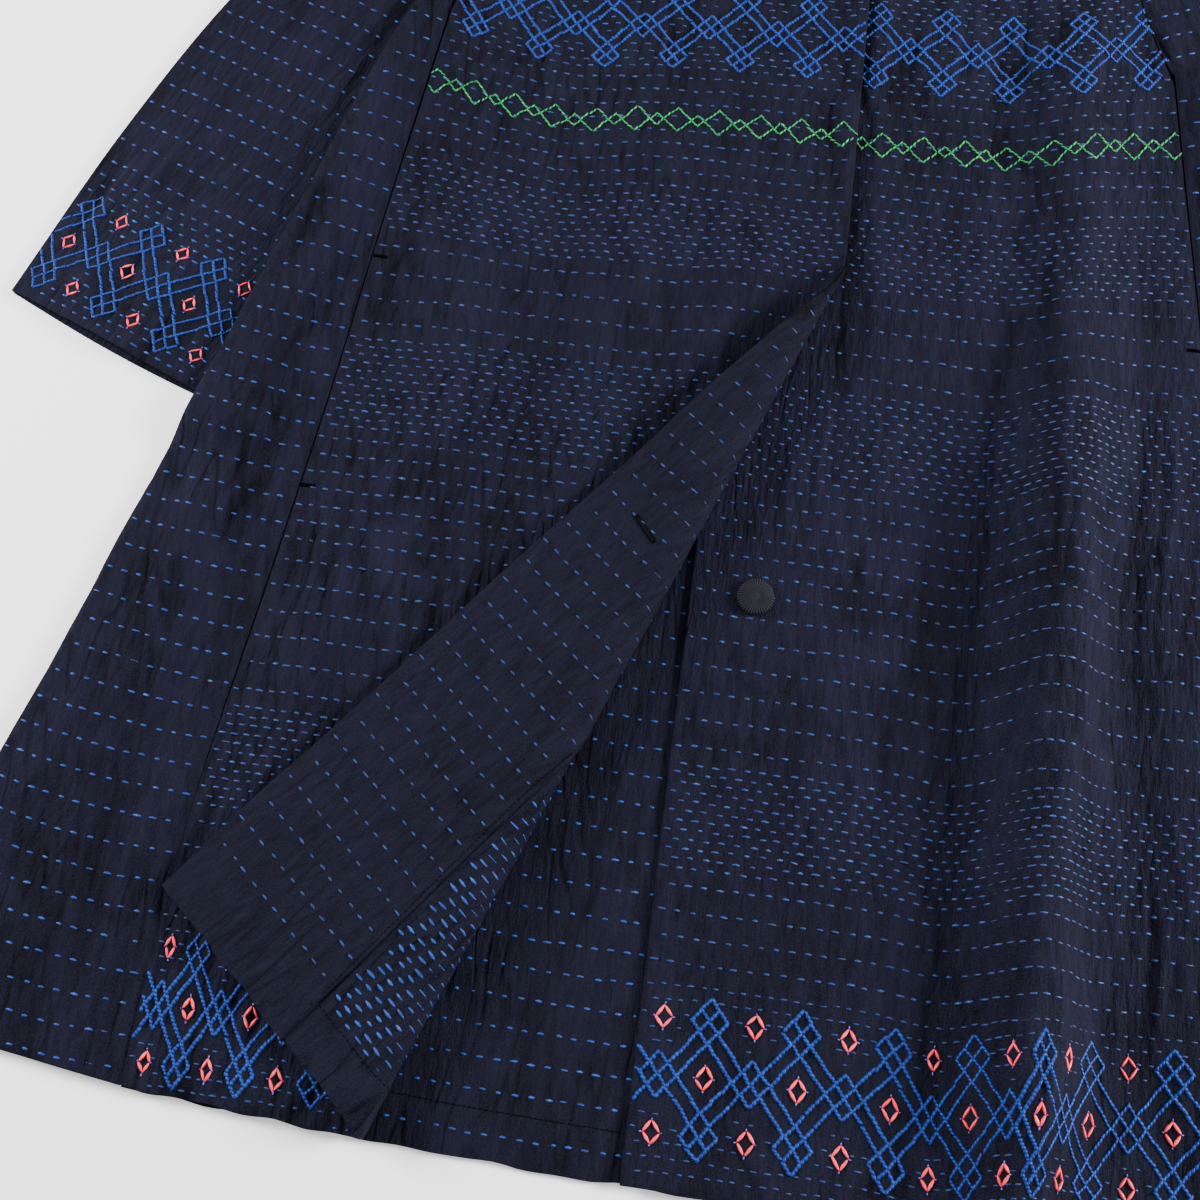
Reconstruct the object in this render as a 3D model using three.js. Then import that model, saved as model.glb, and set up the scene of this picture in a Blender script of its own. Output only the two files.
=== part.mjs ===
import * as THREE from 'three';

// A long quilted coat lying flat on its back, front up. Millimetres.
// x runs across the coat, y from the hem to the neck, z up from the surface it lies on.
// The shapes are worked out with y = 0 at the hem, and the group is moved to the middle at the end.

// Driving sizes
const coatLength = 966;
const wall = 1.8;
const seamGap = 0.3;
const layerAir = 1.2;
const hemTurn = 27;
const hemTurnThickness = 0.8;
const hemAir = 1.6;
const neckAir = 1.1;
const edgeCurl = 3.2;
const frontOverlap = 36;
const edgeDrift = 28;
const foldRadius = 8;
const sideFoldLift = 2.2;
const cuffOpening = 3.4;
const sleeveSwell = 1.6;
const facingWidth = 106;
const facingThickness = 1.1;
const neckFacingThickness = 1;
const neckHalfWidth = 82;
const frontNeckDrop = 88;
const backNeckDrop = 22;
const buttonDiameter = 21.6;
const buttonHeight = 5.2;
const buttonX = 2;
const buttonY = 323;

// Side fold of the body, from the underarm to the hem corner
const sideRows = [
  { y: 712, x: 258 }, { y: 640, x: 281 }, { y: 493, x: 320 }, { y: 402, x: 345 },
  { y: 319, x: 369 }, { y: 260, x: 384 }, { y: 174, x: 409 }, { y: 34, x: 449 },
];
// Seam between the front, or the back, and the side panel
const seamRows = [
  { y: 714, x: 237 }, { y: 558, x: 254 }, { y: 416, x: 267 }, { y: 299, x: 280 }, { y: 167, x: 295 },
  { y: 77, x: 300.6 }, { y: 14, x: 301 },
];
// Armhole, from the shoulder point down to the underarm
const armholeRows = [
  { y: 924, x: 204 }, { y: 870, x: 203 }, { y: 815, x: 206 }, { y: 760, x: 219 }, { y: 714, x: 237 },
];
// Outer fold of the sleeve, from the shoulder point to the cuff
const sleeveOuterRows = [
  { along: 0, x: 204.4, y: 924 }, { along: 0.2, x: 262, y: 872 }, { along: 0.42, x: 327, y: 787 },
  { along: 0.62, x: 384, y: 696 }, { along: 0.82, x: 433, y: 583 }, { along: 1, x: 475, y: 462 },
];
// Inner fold of the sleeve, tucked under the side of the body
const sleeveInnerRows = [
  { along: 0, x: 258.4, y: 716 }, { along: 0.5, x: 287, y: 560 }, { along: 1, x: 322, y: 400 },
];
// Soft folds of the upper layers: a line from one end to the other, half width on each side, height.
// Across its line a fold is exp(-|side / width|^crownPower), rather flat on top
const crownPower = 2.4;
const softFolds = [
  { panel: 'left', x0: 170, y0: 760, x1: 174, y1: 480, leftWidth: 22, rightWidth: 30, height: 12 },
  { panel: 'left', x0: 174, y0: 480, x1: 162, y1: 20, leftWidth: 25, rightWidth: 29, height: 32 },
  { panel: 'left', x0: 132, y0: 640, x1: 139, y1: 430, leftWidth: 9, rightWidth: 9, height: -1.2 },
  { panel: 'left', x0: 76, y0: 400, x1: 86, y1: 40, leftWidth: 11, rightWidth: 11, height: -1.1 },
  { panel: 'left', x0: 236, y0: 420, x1: 268, y1: 60, leftWidth: 20, rightWidth: 20, height: 3 },
  { panel: 'right', x0: -150, y0: 470, x1: -215, y1: 350, leftWidth: 22, rightWidth: 22, height: 3 },
  { panel: 'right', x0: -188, y0: 640, x1: -200, y1: 420, leftWidth: 26, rightWidth: 26, height: 2.4 },
  { panel: 'right', x0: -60, y0: 700, x1: -110, y1: 520, leftWidth: 30, rightWidth: 30, height: 2 },
  { panel: 'right', x0: -240, y0: 330, x1: -262, y1: 90, leftWidth: 18, rightWidth: 18, height: 2.6 },
  { panel: 'side', x0: 300, y0: 420, x1: 372, y1: 60, leftWidth: 18, rightWidth: 18, height: 4 },
  { panel: 'side', x0: 330, y0: 340, x1: 410, y1: 80, leftWidth: 14, rightWidth: 14, height: 3 },
  { panel: 'side', x0: 285, y0: 330, x1: 318, y1: 40, leftWidth: 12, rightWidth: 12, height: 2.4 },
];

const ease = (t) => {
  const k = Math.min(1, Math.max(0, t));
  return k * k * (3 - 2 * k);
};
const mix = (a, b, t) => a + (b - a) * t;
const clamp = (i, last) => Math.min(last, Math.max(0, i));

// Smooth value of one column of a table at a given key, by a monotone cubic between its rows
function readTable(rows, key, column, at) {
  const list = rows[0][key] < rows[rows.length - 1][key] ? rows : [...rows].reverse();
  const last = list.length - 1;
  const slope = (i) => (list[i + 1][column] - list[i][column]) / (list[i + 1][key] - list[i][key]);
  const tangent = (i) => {
    if (i === 0) return slope(0);
    if (i === last) return slope(last - 1);
    const a = slope(i - 1);
    const b = slope(i);
    return a * b <= 0 ? 0 : (2 * a * b) / (a + b);
  };
  if (at <= list[0][key]) return list[0][column] + slope(0) * (at - list[0][key]);
  if (at >= list[last][key]) return list[last][column] + slope(last - 1) * (at - list[last][key]);
  let i = 0;
  while (at > list[i + 1][key]) i += 1;
  const step = list[i + 1][key] - list[i][key];
  const t = (at - list[i][key]) / step;
  const t2 = t * t;
  const t3 = t2 * t;
  return (2 * t3 - 3 * t2 + 1) * list[i][column] + (t3 - 2 * t2 + t) * step * tangent(i)
    + (3 * t2 - 2 * t3) * list[i + 1][column] + (t3 - t2) * step * tangent(i + 1);
}

const sideX = (y) => readTable(sideRows, 'y', 'x', y);
const seamX = (y) => readTable(y > seamRows[0].y ? armholeRows : seamRows, 'y', 'x', y);
const hemY = (x) => (Math.abs(x) < 300 ? 0.00016 * x * x : 14.4 + (Math.abs(x) - 300) * 0.132);
const shoulderY = (x) => mix(coatLength, 924, (Math.abs(x) - neckHalfWidth) / (204 - neckHalfWidth));

// Upper end of a panel at x: the neck curve inside the neck width, the shoulder line outside it
function topY(x, neckDrop) {
  const k = Math.min(1, Math.abs(x) / neckHalfWidth);
  if (Math.abs(x) >= neckHalfWidth) return shoulderY(x);
  return coatLength - neckDrop * Math.pow(1 - Math.pow(k, 2.6), 0.55);
}

// Height of the soft folds of one panel at a point
function foldHeight(panel, x, y) {
  let height = 0;
  for (const fold of softFolds.filter((f) => f.panel === panel)) {
    const dx = fold.x1 - fold.x0;
    const dy = fold.y1 - fold.y0;
    const t = ((x - fold.x0) * dx + (y - fold.y0) * dy) / (dx * dx + dy * dy);
    const side = x - (fold.x0 + dx * t);
    const spread = side < 0 ? fold.leftWidth : fold.rightWidth;
    const reach = 0.16;
    const ends = ease((t + reach) / reach / 2) * ease((1 + reach - t) / reach / 2);
    height += fold.height * ends * Math.exp(-(Math.abs(side / spread) ** crownPower));
  }
  return height;
}

// Middle surface of the back: flat on the surface that the coat lies on
const backMiddle = () => wall / 2;

// Lift of the side of the body over the sleeve that is tucked under it
function sleeveLift(x, y) {
  const along = ease((y - 366) / 30) * (1 - ease((y - 714) / 40));
  const inner = readTable(sleeveInnerRows, 'y', 'x', y);
  return 6.8 * along * ease((Math.abs(x) - inner + 32) / 25);
}

// Air between two layers, wider at the hem and over the neck facing
function baseAir(x, y) {
  const neck = ease((y - 836) / 24) * ease((118 - Math.abs(x)) / 24);
  return layerAir + hemAir * (1 - ease((y - hemY(x)) / 46)) + neckAir * neck;
}

// Middle surface of the under front, on the wearer's left
function leftMiddle(x, y) {
  const calm = ease((x + 34) / 30) * (1 - 0.55 * ease((x - seamX(y) + 40) / 40));
  return wall * 1.5 + baseAir(x, y) + foldHeight('left', x, y) * calm + sideRise(x, y);
}

// Rise of the upper layer from the seam to the side fold, and over the sleeve
function sideRise(x, y) {
  const near = ease((Math.abs(x) - sideX(Math.min(y, 712)) + 74) / 74);
  return sideFoldLift * near + sleeveLift(x, y);
}

// Turn line of the lower corner: a point on it, its direction down the coat, its outward normal
const turnTop = { x: 26, y: 541 };
const turnFoot = { x: -179.5, y: 6.5 };
const turnLength = Math.hypot(turnFoot.x - turnTop.x, turnFoot.y - turnTop.y);
const turnAlong = {
  x: (turnFoot.x - turnTop.x) / turnLength,
  y: (turnFoot.y - turnTop.y) / turnLength,
};
const turnOut = { x: -turnAlong.y, y: turnAlong.x };

// Free edge of the upper front, measured on the cloth before its corner is turned back
const freeEdge = (y) => frontOverlap - edgeDrift * ease((540 - y) / 1080) * 2;

// Middle surface of the upper front, on the wearer's right, where it lies face up: a fold swells
// beside the turn line near its top, and the free edge curls up a little above it
function rightMiddle(x, y) {
  const onLeft = ease((x + frontOverlap + 34) / 30);
  const under = mix(wall / 2, leftMiddle(Math.max(x, -frontOverlap), y), onLeft);
  const calm = 1 - 0.6 * ease((-x - seamX(y) + 40) / 40);
  const out = (x - turnTop.x) * turnOut.x + (y - turnTop.y) * turnOut.y;
  const along = (x - turnTop.x) * turnAlong.x + (y - turnTop.y) * turnAlong.y;
  const near = Math.exp(-(((out + 44) / 22) ** 2));
  const swell = 5.2 * near * ease((along + 40) / 60) * (1 - ease((along - 90) / 90));
  const curl = edgeCurl * Math.exp(-(((x - freeEdge(y)) / 15) ** 2)) * ease((y - 430) / 60);
  return under + wall + baseAir(x, y) * mix(1, 0.75, onLeft) + foldHeight('right', x, y) * calm
    + sideRise(x, y) * (1 - onLeft) + swell + curl;
}

// Middle surface of the upper front at a point of its cloth: flat up to the turn line, then a half
// round of foldRadius, then back over itself, one layer above
function turnedPoint(s, t) {
  const along = (s - turnTop.x) * turnAlong.x + (t - turnTop.y) * turnAlong.y;
  const out = (s - turnTop.x) * turnOut.x + (t - turnTop.y) * turnOut.y;
  if (out <= 0) return new THREE.Vector3(s, t, rightMiddle(s, t));
  const foot = { x: s - turnOut.x * out, y: t - turnOut.y * out };
  const footZ = rightMiddle(foot.x, foot.y);
  const turn = out / foldRadius;
  if (turn < Math.PI) {
    const reach = foldRadius * Math.sin(turn);
    return new THREE.Vector3(foot.x + turnOut.x * reach, foot.y + turnOut.y * reach,
      footZ + foldRadius * (1 - Math.cos(turn)));
  }
  const back = out - Math.PI * foldRadius;
  const x = foot.x - turnOut.x * back;
  const y = foot.y - turnOut.y * back;
  const rest = wall + hemTurnThickness + 0.9;
  const fall = Math.exp(-((back / 30) ** 1.6));
  const lifted = 3.2 * ease((220 - along) / 160);
  const ripple = 1.3 * Math.sin(along / 38 + back / 60) * ease(back / 40);
  const z = rightMiddle(x, y) + rest + (2 * foldRadius - rest) * fall + (lifted + 1.3 + ripple) * (1 - fall);
  return new THREE.Vector3(x, y, z);
}

// A wall between two faces of a grid of middle points, closed at its four edges. The offsets give
// how far each face lies from the middle, along the grid's normal. A range takes a part of the grid.
function wallFromGrid(points, upper, lower, range = {}) {
  const { fromRow = 0, toRow = points.length - 1, fromColumn = 0, toColumn = points[0].length - 1 } = range;
  const rows = toRow - fromRow + 1;
  const columns = toColumn - fromColumn + 1;
  const positions = [];
  const at = (i, j) => points[clamp(i, points.length - 1)][clamp(j, points[0].length - 1)];
  const faces = [upper, (i, j) => -lower(i, j)];
  for (const offset of faces) {
    for (let i = fromRow; i <= toRow; i += 1) {
      for (let j = fromColumn; j <= toColumn; j += 1) {
        const across = at(i, j + 1).clone().sub(at(i, j - 1));
        const down = at(i + 1, j).clone().sub(at(i - 1, j));
        const normal = across.cross(down).normalize();
        const p = at(i, j).clone().addScaledVector(normal, offset(i, j));
        positions.push(p.x, p.y, p.z);
      }
    }
  }
  const size = rows * columns;
  const index = [];
  const quad = (a, b, c, d) => index.push(a, b, c, a, c, d);
  for (let i = 0; i < rows - 1; i += 1) {
    for (let j = 0; j < columns - 1; j += 1) {
      const a = i * columns + j;
      quad(a, a + 1, a + columns + 1, a + columns);
      quad(size + a, size + a + columns, size + a + columns + 1, size + a + 1);
    }
  }
  for (let j = 0; j < columns - 1; j += 1) {
    const end = (rows - 1) * columns + j;
    quad(j, size + j, size + j + 1, j + 1);
    quad(end, end + 1, size + end + 1, size + end);
  }
  for (let i = 0; i < rows - 1; i += 1) {
    const left = i * columns;
    const right = left + columns - 1;
    quad(left, left + columns, size + left + columns, size + left);
    quad(right, size + right, size + right + columns, right + columns);
  }
  return closedGeometry(positions, index);
}

function closedGeometry(positions, index) {
  const geometry = new THREE.BufferGeometry();
  geometry.setAttribute('position', new THREE.Float32BufferAttribute(positions, 3));
  geometry.setIndex(index);
  return geometry;
}

// Half the wall's thickness on each side of its middle
const half = () => wall / 2;

// Extra thickness of a turned hem, on the face that carries it
const hemExtra = (x, y) => (y - hemY(x) < hemTurn ? hemTurnThickness : 0);

// Even values from one end to the other
function spread(count, from, to) {
  return Array.from({ length: count + 1 }, (_, i) => mix(from, to, i / count));
}

// Shares of a panel's length at which its rows lie, the same in each panel so that they meet at the
// seams, with two rows at the turned hem's edge and one at the underarm
const seamFoot = 14.4;
const seamLength = 924 - seamFoot;
const underarmShare = (712 - seamFoot) / seamLength;
const hemShare = hemTurn / seamLength;
const rowShares = [
  0, hemShare * 0.5, hemShare - 0.0012, hemShare + 0.0012,
  ...spread(20, hemShare + 0.02, underarmShare), ...spread(7, underarmShare, 1).slice(1),
];

// A panel between two side lines and two end lines, as a grid of middle points
function panelPoints(across, along, place) {
  return along.map((k) => across.map((j) => place(j, k)));
}

// y of a row at x, between the hem and the upper end of that panel
function rowY(k, x, neckDrop) {
  return mix(hemY(x), topY(x, neckDrop), k);
}

// Middle points of a panel between its centre or free edge and its seam, one row for each share
function panelToSeam(across, edge, neckDrop, height) {
  return panelPoints(across, rowShares, (j, k) => {
    const seamY = seamFoot + seamLength * k;
    const x = mix(edge, seamX(seamY) - seamGap / 2, j);
    const y = j === 1 ? seamY : rowY(k, x, neckDrop);
    return new THREE.Vector3(x, y, height(x, y));
  });
}

// The back with its turned hem, which lies on its inner face
function backGeometry() {
  const across = [0, 0.14, 0.27, 0.36, 0.402, 0.7, 1];
  const points = panelToSeam(across, 0, backNeckDrop, backMiddle).map((row) => [
    ...row.slice(1).reverse().map((p) => new THREE.Vector3(-p.x, p.y, p.z)),
    ...row,
  ]);
  const upper = (i, j) => wall / 2 + hemExtra(points[i][j].x, points[i][j].y);
  return wallFromGrid(points, upper, half);
}

function frontLeftPoints() {
  const across = [0, 0.02, 0.06, 0.14, 0.22, 0.3, 0.38, 0.44, 0.47, 0.4917, 0.51, 0.53, 0.555, 0.58, 0.61,
    0.635, 0.655, 0.675, 0.7, 0.73, 0.77, 0.82, 0.87, 0.91, 0.95, 0.98, 1];
  return panelToSeam(across, -frontOverlap, frontNeckDrop, leftMiddle);
}

// Cloth columns of the upper front: evenly spaced to the turn line, close round it, then over the
// turned corner, with one at the inner edge of the facing
const faceShares = [0, 0.03, 0.1, 0.2, 0.3, 0.41, 0.5135, 0.6, 0.7, 0.79, 0.87, 0.94];
const roundShares = [0, 0.125, 0.25, 0.375, 0.5, 0.625, 0.75, 0.875];
const plainShares = [0, 0.5];
const facingShares = [0, 0.2, 0.4, 0.6, 0.8, 1];
function rightColumns(seam, t) {
  const edge = freeEdge(t);
  const cross = turnTop.x + ((turnTop.y - t) * turnOut.y) / turnOut.x;
  const start = Math.min(cross, edge - 2.4);
  const roll = Math.min((Math.PI * foldRadius) / turnOut.x, (edge - start) * 0.55);
  const inner = Math.max(edge - facingWidth, mix(start + roll, edge, 0.08));
  return [
    ...faceShares.map((k) => mix(seam, start, k)),
    ...roundShares.map((k) => start + roll * k),
    ...plainShares.map((k) => mix(start + roll, inner, k)),
    ...facingShares.map((k) => mix(inner, edge, k)),
  ];
}

function frontRightCloth() {
  return rowShares.map((k) => {
    const seamY = seamFoot + seamLength * k;
    const seam = -seamX(seamY) + seamGap / 2;
    return rightColumns(seam, seamY - seamFoot)
      .map((x, j) => ({ x, y: j === 0 ? seamY : rowY(k, x, frontNeckDrop) }));
  });
}

// The upper front and, on its wrong side, the facing along its free edge where the corner shows it
function frontRightGeometries() {
  const cloth = frontRightCloth();
  const points = cloth.map((row) => row.map((p) => turnedPoint(p.x, p.y)));
  const wrongSide = (i, j) => wall / 2 + hemExtra(cloth[i][j].x, cloth[i][j].y);
  const near = (i, j) => wrongSide(i, j) + seamGap;
  const columns = cloth[0].length;
  const firstFacing = columns - facingShares.length;
  const shows = cloth.filter((row) => row[columns - 1].x - row[firstFacing].x > 4);
  return {
    front: wallFromGrid(points, half, wrongSide),
    facing: wallFromGrid(points, (i, j) => -near(i, j), (i, j) => near(i, j) + facingThickness,
      { toRow: shows.length - 1, fromColumn: firstFacing }),
  };
}

// Middle points of a side panel: from the front seam over its upper layer, round the side fold, and
// back under it to the back seam
function sidePoints(sign) {
  const rows = rowShares.filter((k) => k <= underarmShare);
  const top = [0, 0.06, 0.2, 0.38, 0.56, 0.74, 0.88, 1];
  const turns = [1 / 6, 2 / 6, 3 / 6, 4 / 6, 5 / 6];
  const below = [1, 0.7, 0.35, 0.08, 0];
  return rows.map((k) => {
    const list = [];
    const place = (j) => {
      const seamAt = seamFoot + seamLength * k;
      const sideAt = mix(34, 711, k / underarmShare);
      const seam = seamX(seamAt) + seamGap / 2;
      const fold = sideX(sideAt) - 5;
      const x = mix(seam, fold, j);
      const y = mix(seamAt, sideAt, Math.max(0, (x - seam) / (fold - seam)));
      return { x, y };
    };
    for (const j of top) {
      const p = place(j);
      list.push(new THREE.Vector3(p.x, p.y, sideUpperMiddle(sign, p.x, p.y)));
    }
    const edge = place(1);
    const high = sideUpperMiddle(sign, edge.x, edge.y);
    const low = sideLowerMiddle(edge.x, edge.y);
    const radius = (high - low) / 2;
    for (const turn of turns) {
      const angle = Math.PI * turn;
      list.push(new THREE.Vector3(edge.x + 5 * Math.sin(angle), edge.y,
        low + radius + radius * Math.cos(angle)));
    }
    for (const j of below) {
      const p = place(j);
      list.push(new THREE.Vector3(p.x, p.y, sideLowerMiddle(p.x, p.y)));
    }
    return list.map((p) => new THREE.Vector3(sign * p.x, p.y, p.z));
  });
}

// The upper layer of the side panel meets the front at the seam at the same height
function sideUpperMiddle(sign, x, y) {
  const seam = seamX(Math.min(y, 713));
  const front = sign > 0 ? leftMiddle(seam, y) : rightMiddle(-seam, y);
  const rise = sideRise(x, y) - sideRise(seam, y);
  return front + rise + foldHeight('side', x, y) * ease((x - seam) / 20);
}

const sideLowerMiddle = (x, y) => wall / 2 + sleeveLift(x, y) * ease((x - seamX(y) - 2) / 12);

// The sleeve is a flattened tube, open at the armhole and at the cuff
function sleeveGeometry(sign) {
  const rows = 15;
  const across = [0, 0.14, 0.32, 0.5, 0.68, 0.86, 1];
  const rings = [];
  for (let i = 0; i <= rows; i += 1) {
    const along = i / rows;
    const outer = {
      x: readTable(sleeveOuterRows, 'along', 'x', along),
      y: readTable(sleeveOuterRows, 'along', 'y', along),
    };
    const inner = {
      x: readTable(sleeveInnerRows, 'along', 'x', along),
      y: readTable(sleeveInnerRows, 'along', 'y', along),
    };
    rings.push(sleeveRing(sign, outer, inner, along, across));
  }
  return tubeFromRings(rings);
}

// One ring of the sleeve, flat against the back below, as two loops of points, outside and inside the wall
function sleeveRing(sign, outer, inner, along, across) {
  const dx = inner.x - outer.x;
  const dy = inner.y - outer.y;
  const width = Math.hypot(dx, dy);
  const unit = { x: dx / width, y: dy / width };
  const forward = { x: -unit.y, y: unit.x };
  const opening = mix(0.7, cuffOpening, ease((along - 0.72) / 0.28));
  const bow = (k) => Math.sin(Math.PI * k);
  const loop = (inset) => {
    const list = [];
    const swell = (k) => opening + sleeveSwell * (1 - Math.abs(2 * k - 0.8));
    const upperZ = (k) => wall * 2 - inset + 0.5 + swell(k) * bow(k);
    const end = 2.4 - inset * 0.4;
    const spot = (k, z, reach) => {
      const d = mix(inset, width - inset, k);
      const hug = 1 - ease(along / mix(0.4, 0.1, k));
      const shift = armholeShift(k);
      const x = outer.x + unit.x * d + forward.x * reach + shift.x * hug;
      const y = outer.y + unit.y * d + forward.y * reach + shift.y * hug;
      list.push(new THREE.Vector3(sign * x, y, z));
    };
    for (const k of across) spot(k, Math.max(upperZ(k), end + 0.4), 0);
    for (const k of [...across].reverse()) spot(k, inset, along === 1 ? -3.2 * bow(k) : 0);
    return list;
  };
  return { outside: loop(0), inside: loop(wall * 0.92) };
}

// How far the armhole lies from the straight line between the shoulder and the underarm
const underarmStart = 0.91;
function armholeShift(k) {
  const first = { x: sleeveOuterRows[0].x, y: sleeveOuterRows[0].y };
  const end = { x: sleeveInnerRows[0].x, y: sleeveInnerRows[0].y };
  const straight = { x: mix(first.x, end.x, k), y: mix(first.y, end.y, k) };
  const t = Math.min(1, k / underarmStart);
  const y = mix(first.y, end.y, t);
  const past = Math.max(0, (k - underarmStart) / (1 - underarmStart));
  const onLine = readTable(armholeRows, 'y', 'x', y) + seamGap * 1.4;
  return { x: mix(onLine, end.x, past) - straight.x, y: y - straight.y };
}

function tubeFromRings(rings) {
  const positions = [];
  const loops = rings[0].outside.length;
  for (const side of ['outside', 'inside']) {
    for (const ring of rings) for (const p of ring[side]) positions.push(p.x, p.y, p.z);
  }
  const size = rings.length * loops;
  const index = [];
  const quad = (a, b, c, d) => index.push(a, b, c, a, c, d);
  for (let i = 0; i < rings.length - 1; i += 1) {
    for (let j = 0; j < loops; j += 1) {
      const next = (j + 1) % loops;
      const a = i * loops + j;
      const b = i * loops + next;
      quad(a, b, b + loops, a + loops);
      quad(size + a, size + a + loops, size + b + loops, size + b);
    }
  }
  const end = (rings.length - 1) * loops;
  for (let j = 0; j < loops; j += 1) {
    const next = (j + 1) % loops;
    quad(j, size + j, size + next, next);
    quad(end + j, end + next, size + end + next, size + end + j);
  }
  return closedGeometry(positions, index);
}

// Facing inside the back neck, cut along the neck's curve
function backNeckFacingGeometry() {
  const depth = 72;
  const points = panelPoints(spread(12, -1, 1), [0, 0.5, 1], (j, k) => {
    const x = j * (neckHalfWidth - 3);
    const top = topY(x, backNeckDrop) - 2;
    return new THREE.Vector3(x, mix(top - depth, top, k), wall + seamGap + neckFacingThickness / 2);
  });
  return wallFromGrid(points, () => neckFacingThickness / 2, () => neckFacingThickness / 2);
}

// Cloth covered button: a low dome on a short shank
function buttonGeometry() {
  const r = buttonDiameter / 2;
  const rim = 2.2;
  const profile = [[0, 0], [2.6, 0], [2.6, 1.1], [r * 0.86, 1.1], [r * 0.97, 1.6], [r, rim]];
  const steps = 5;
  for (let i = 1; i <= steps; i += 1) {
    const a = (Math.PI / 2) * (i / steps);
    profile.push([r * Math.cos(a), rim + (buttonHeight - rim) * Math.sin(a)]);
  }
  profile[profile.length - 1][0] = 0;
  const lathe = new THREE.LatheGeometry(profile.map(([x, y]) => new THREE.Vector2(x, y)), 28);
  return lathe.rotateX(Math.PI / 2);
}

// Turns every face of a closed geometry over where it came out facing inwards
function facingOut(geometry) {
  const p = geometry.attributes.position;
  const index = geometry.index;
  let volume = 0;
  const v = [new THREE.Vector3(), new THREE.Vector3(), new THREE.Vector3()];
  for (let i = 0; i < index.count; i += 3) {
    for (let k = 0; k < 3; k += 1) v[k].fromBufferAttribute(p, index.getX(i + k));
    volume += v[0].dot(v[1].clone().cross(v[2]));
  }
  if (volume < 0) {
    for (let i = 0; i < index.count; i += 3) {
      const b = index.getX(i + 1);
      index.setX(i + 1, index.getX(i + 2));
      index.setX(i + 2, b);
    }
  }
  return geometry;
}

const coat = new THREE.Group();
const cottonNavy = { color: 0x22232d, roughness: 0.92, metalness: 0 };
const cottonInside = { color: 0x24252f, roughness: 0.92, metalness: 0 };
const coveredButton = { color: 0x2e2e36, roughness: 0.8, metalness: 0 };

function addPiece(name, geometry, finish) {
  const mesh = new THREE.Mesh(facingOut(geometry), new THREE.MeshStandardMaterial(finish));
  mesh.name = name;
  mesh.position.y = -coatLength / 2;
  coat.add(mesh);
  return mesh;
}

const rightPieces = frontRightGeometries();
addPiece('back', backGeometry(), cottonInside);
addPiece('back_neck_facing', backNeckFacingGeometry(), cottonInside);
addPiece('front_left', wallFromGrid(frontLeftPoints(), half, half), cottonNavy);
addPiece('front_right', rightPieces.front, cottonNavy);
addPiece('facing_right', rightPieces.facing, cottonInside);
for (const [name, sign] of [['left', 1], ['right', -1]]) {
  addPiece(`side_${name}`, wallFromGrid(sidePoints(sign), half, half), cottonNavy);
  addPiece(`sleeve_${name}`, sleeveGeometry(sign), cottonNavy);
}
const button = addPiece('button', buttonGeometry(), coveredButton);
const buttonBase = leftMiddle(buttonX, buttonY) + wall / 2 + seamGap;
button.position.set(buttonX, buttonY - coatLength / 2, buttonBase);

export default coat;
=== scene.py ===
import math
import bpy
import numpy as np
from mathutils import Matrix, Vector


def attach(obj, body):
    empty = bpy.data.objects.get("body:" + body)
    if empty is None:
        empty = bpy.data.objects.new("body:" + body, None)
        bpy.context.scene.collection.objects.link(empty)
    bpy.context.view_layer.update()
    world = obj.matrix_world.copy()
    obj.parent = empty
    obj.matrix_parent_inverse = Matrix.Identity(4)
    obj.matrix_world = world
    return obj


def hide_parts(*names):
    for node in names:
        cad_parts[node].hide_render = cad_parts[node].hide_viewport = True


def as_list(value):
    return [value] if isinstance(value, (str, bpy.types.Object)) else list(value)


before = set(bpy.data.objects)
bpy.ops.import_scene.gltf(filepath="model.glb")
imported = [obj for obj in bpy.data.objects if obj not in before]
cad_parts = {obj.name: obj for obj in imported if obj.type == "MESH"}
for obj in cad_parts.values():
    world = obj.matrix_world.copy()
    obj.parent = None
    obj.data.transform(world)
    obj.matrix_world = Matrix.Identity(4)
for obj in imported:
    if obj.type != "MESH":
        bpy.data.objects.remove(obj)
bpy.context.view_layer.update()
print("frame loaded")

# Everything below is worked out in millimetres, with y = 0 at the hem and x = 0 at the centre front.
# A mesh is moved to the frame's origin and turned to metres when it is made.
toMetres = 0.001
coat = dict(length=966.0, wall=1.8, seamGap=0.3, layerAir=1.2, hemAir=1.6, hemTurn=27.0,
            hemTurnThickness=0.8, neckAir=1.1, edgeCurl=3.2, overlap=36.0, edgeDrift=28.0,
            foldRadius=8.0, sideLift=2.2, facingWidth=106.0, facingThickness=1.1, neckHalf=82.0,
            frontNeckDrop=88.0, backNeckDrop=22.0, seamFoot=14.4, shoulderY=924.0, shoulderX=204.0,
            underarmY=712.0, sideFoldRadius=5.0)
seamLength = coat["shoulderY"] - coat["seamFoot"]
wall = coat["wall"]

# rows of an outline: y along the coat, x from the centre
sideRows = [(712, 258), (640, 281), (493, 320), (402, 345), (319, 369), (260, 384), (174, 409), (34, 449)]
seamRows = [(714, 237), (558, 254), (416, 267), (299, 280), (167, 295), (77, 300.6), (14, 301)]
armholeRows = [(924, 204), (870, 203), (815, 206), (760, 219), (714, 237)]
# rows of the sleeve's two folds: share of its length, x, y
sleeveOuterRows = [(0, 204.4, 924), (0.2, 262, 872), (0.42, 327, 787), (0.62, 384, 696),
                   (0.82, 433, 583), (1, 475, 462)]
sleeveInnerRows = [(0, 258.4, 716), (0.5, 287, 560), (1, 322, 400)]
justBelowShoulder, justBelowUnderarm = 923.0, 711.0  # where the outline rows are still read
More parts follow.
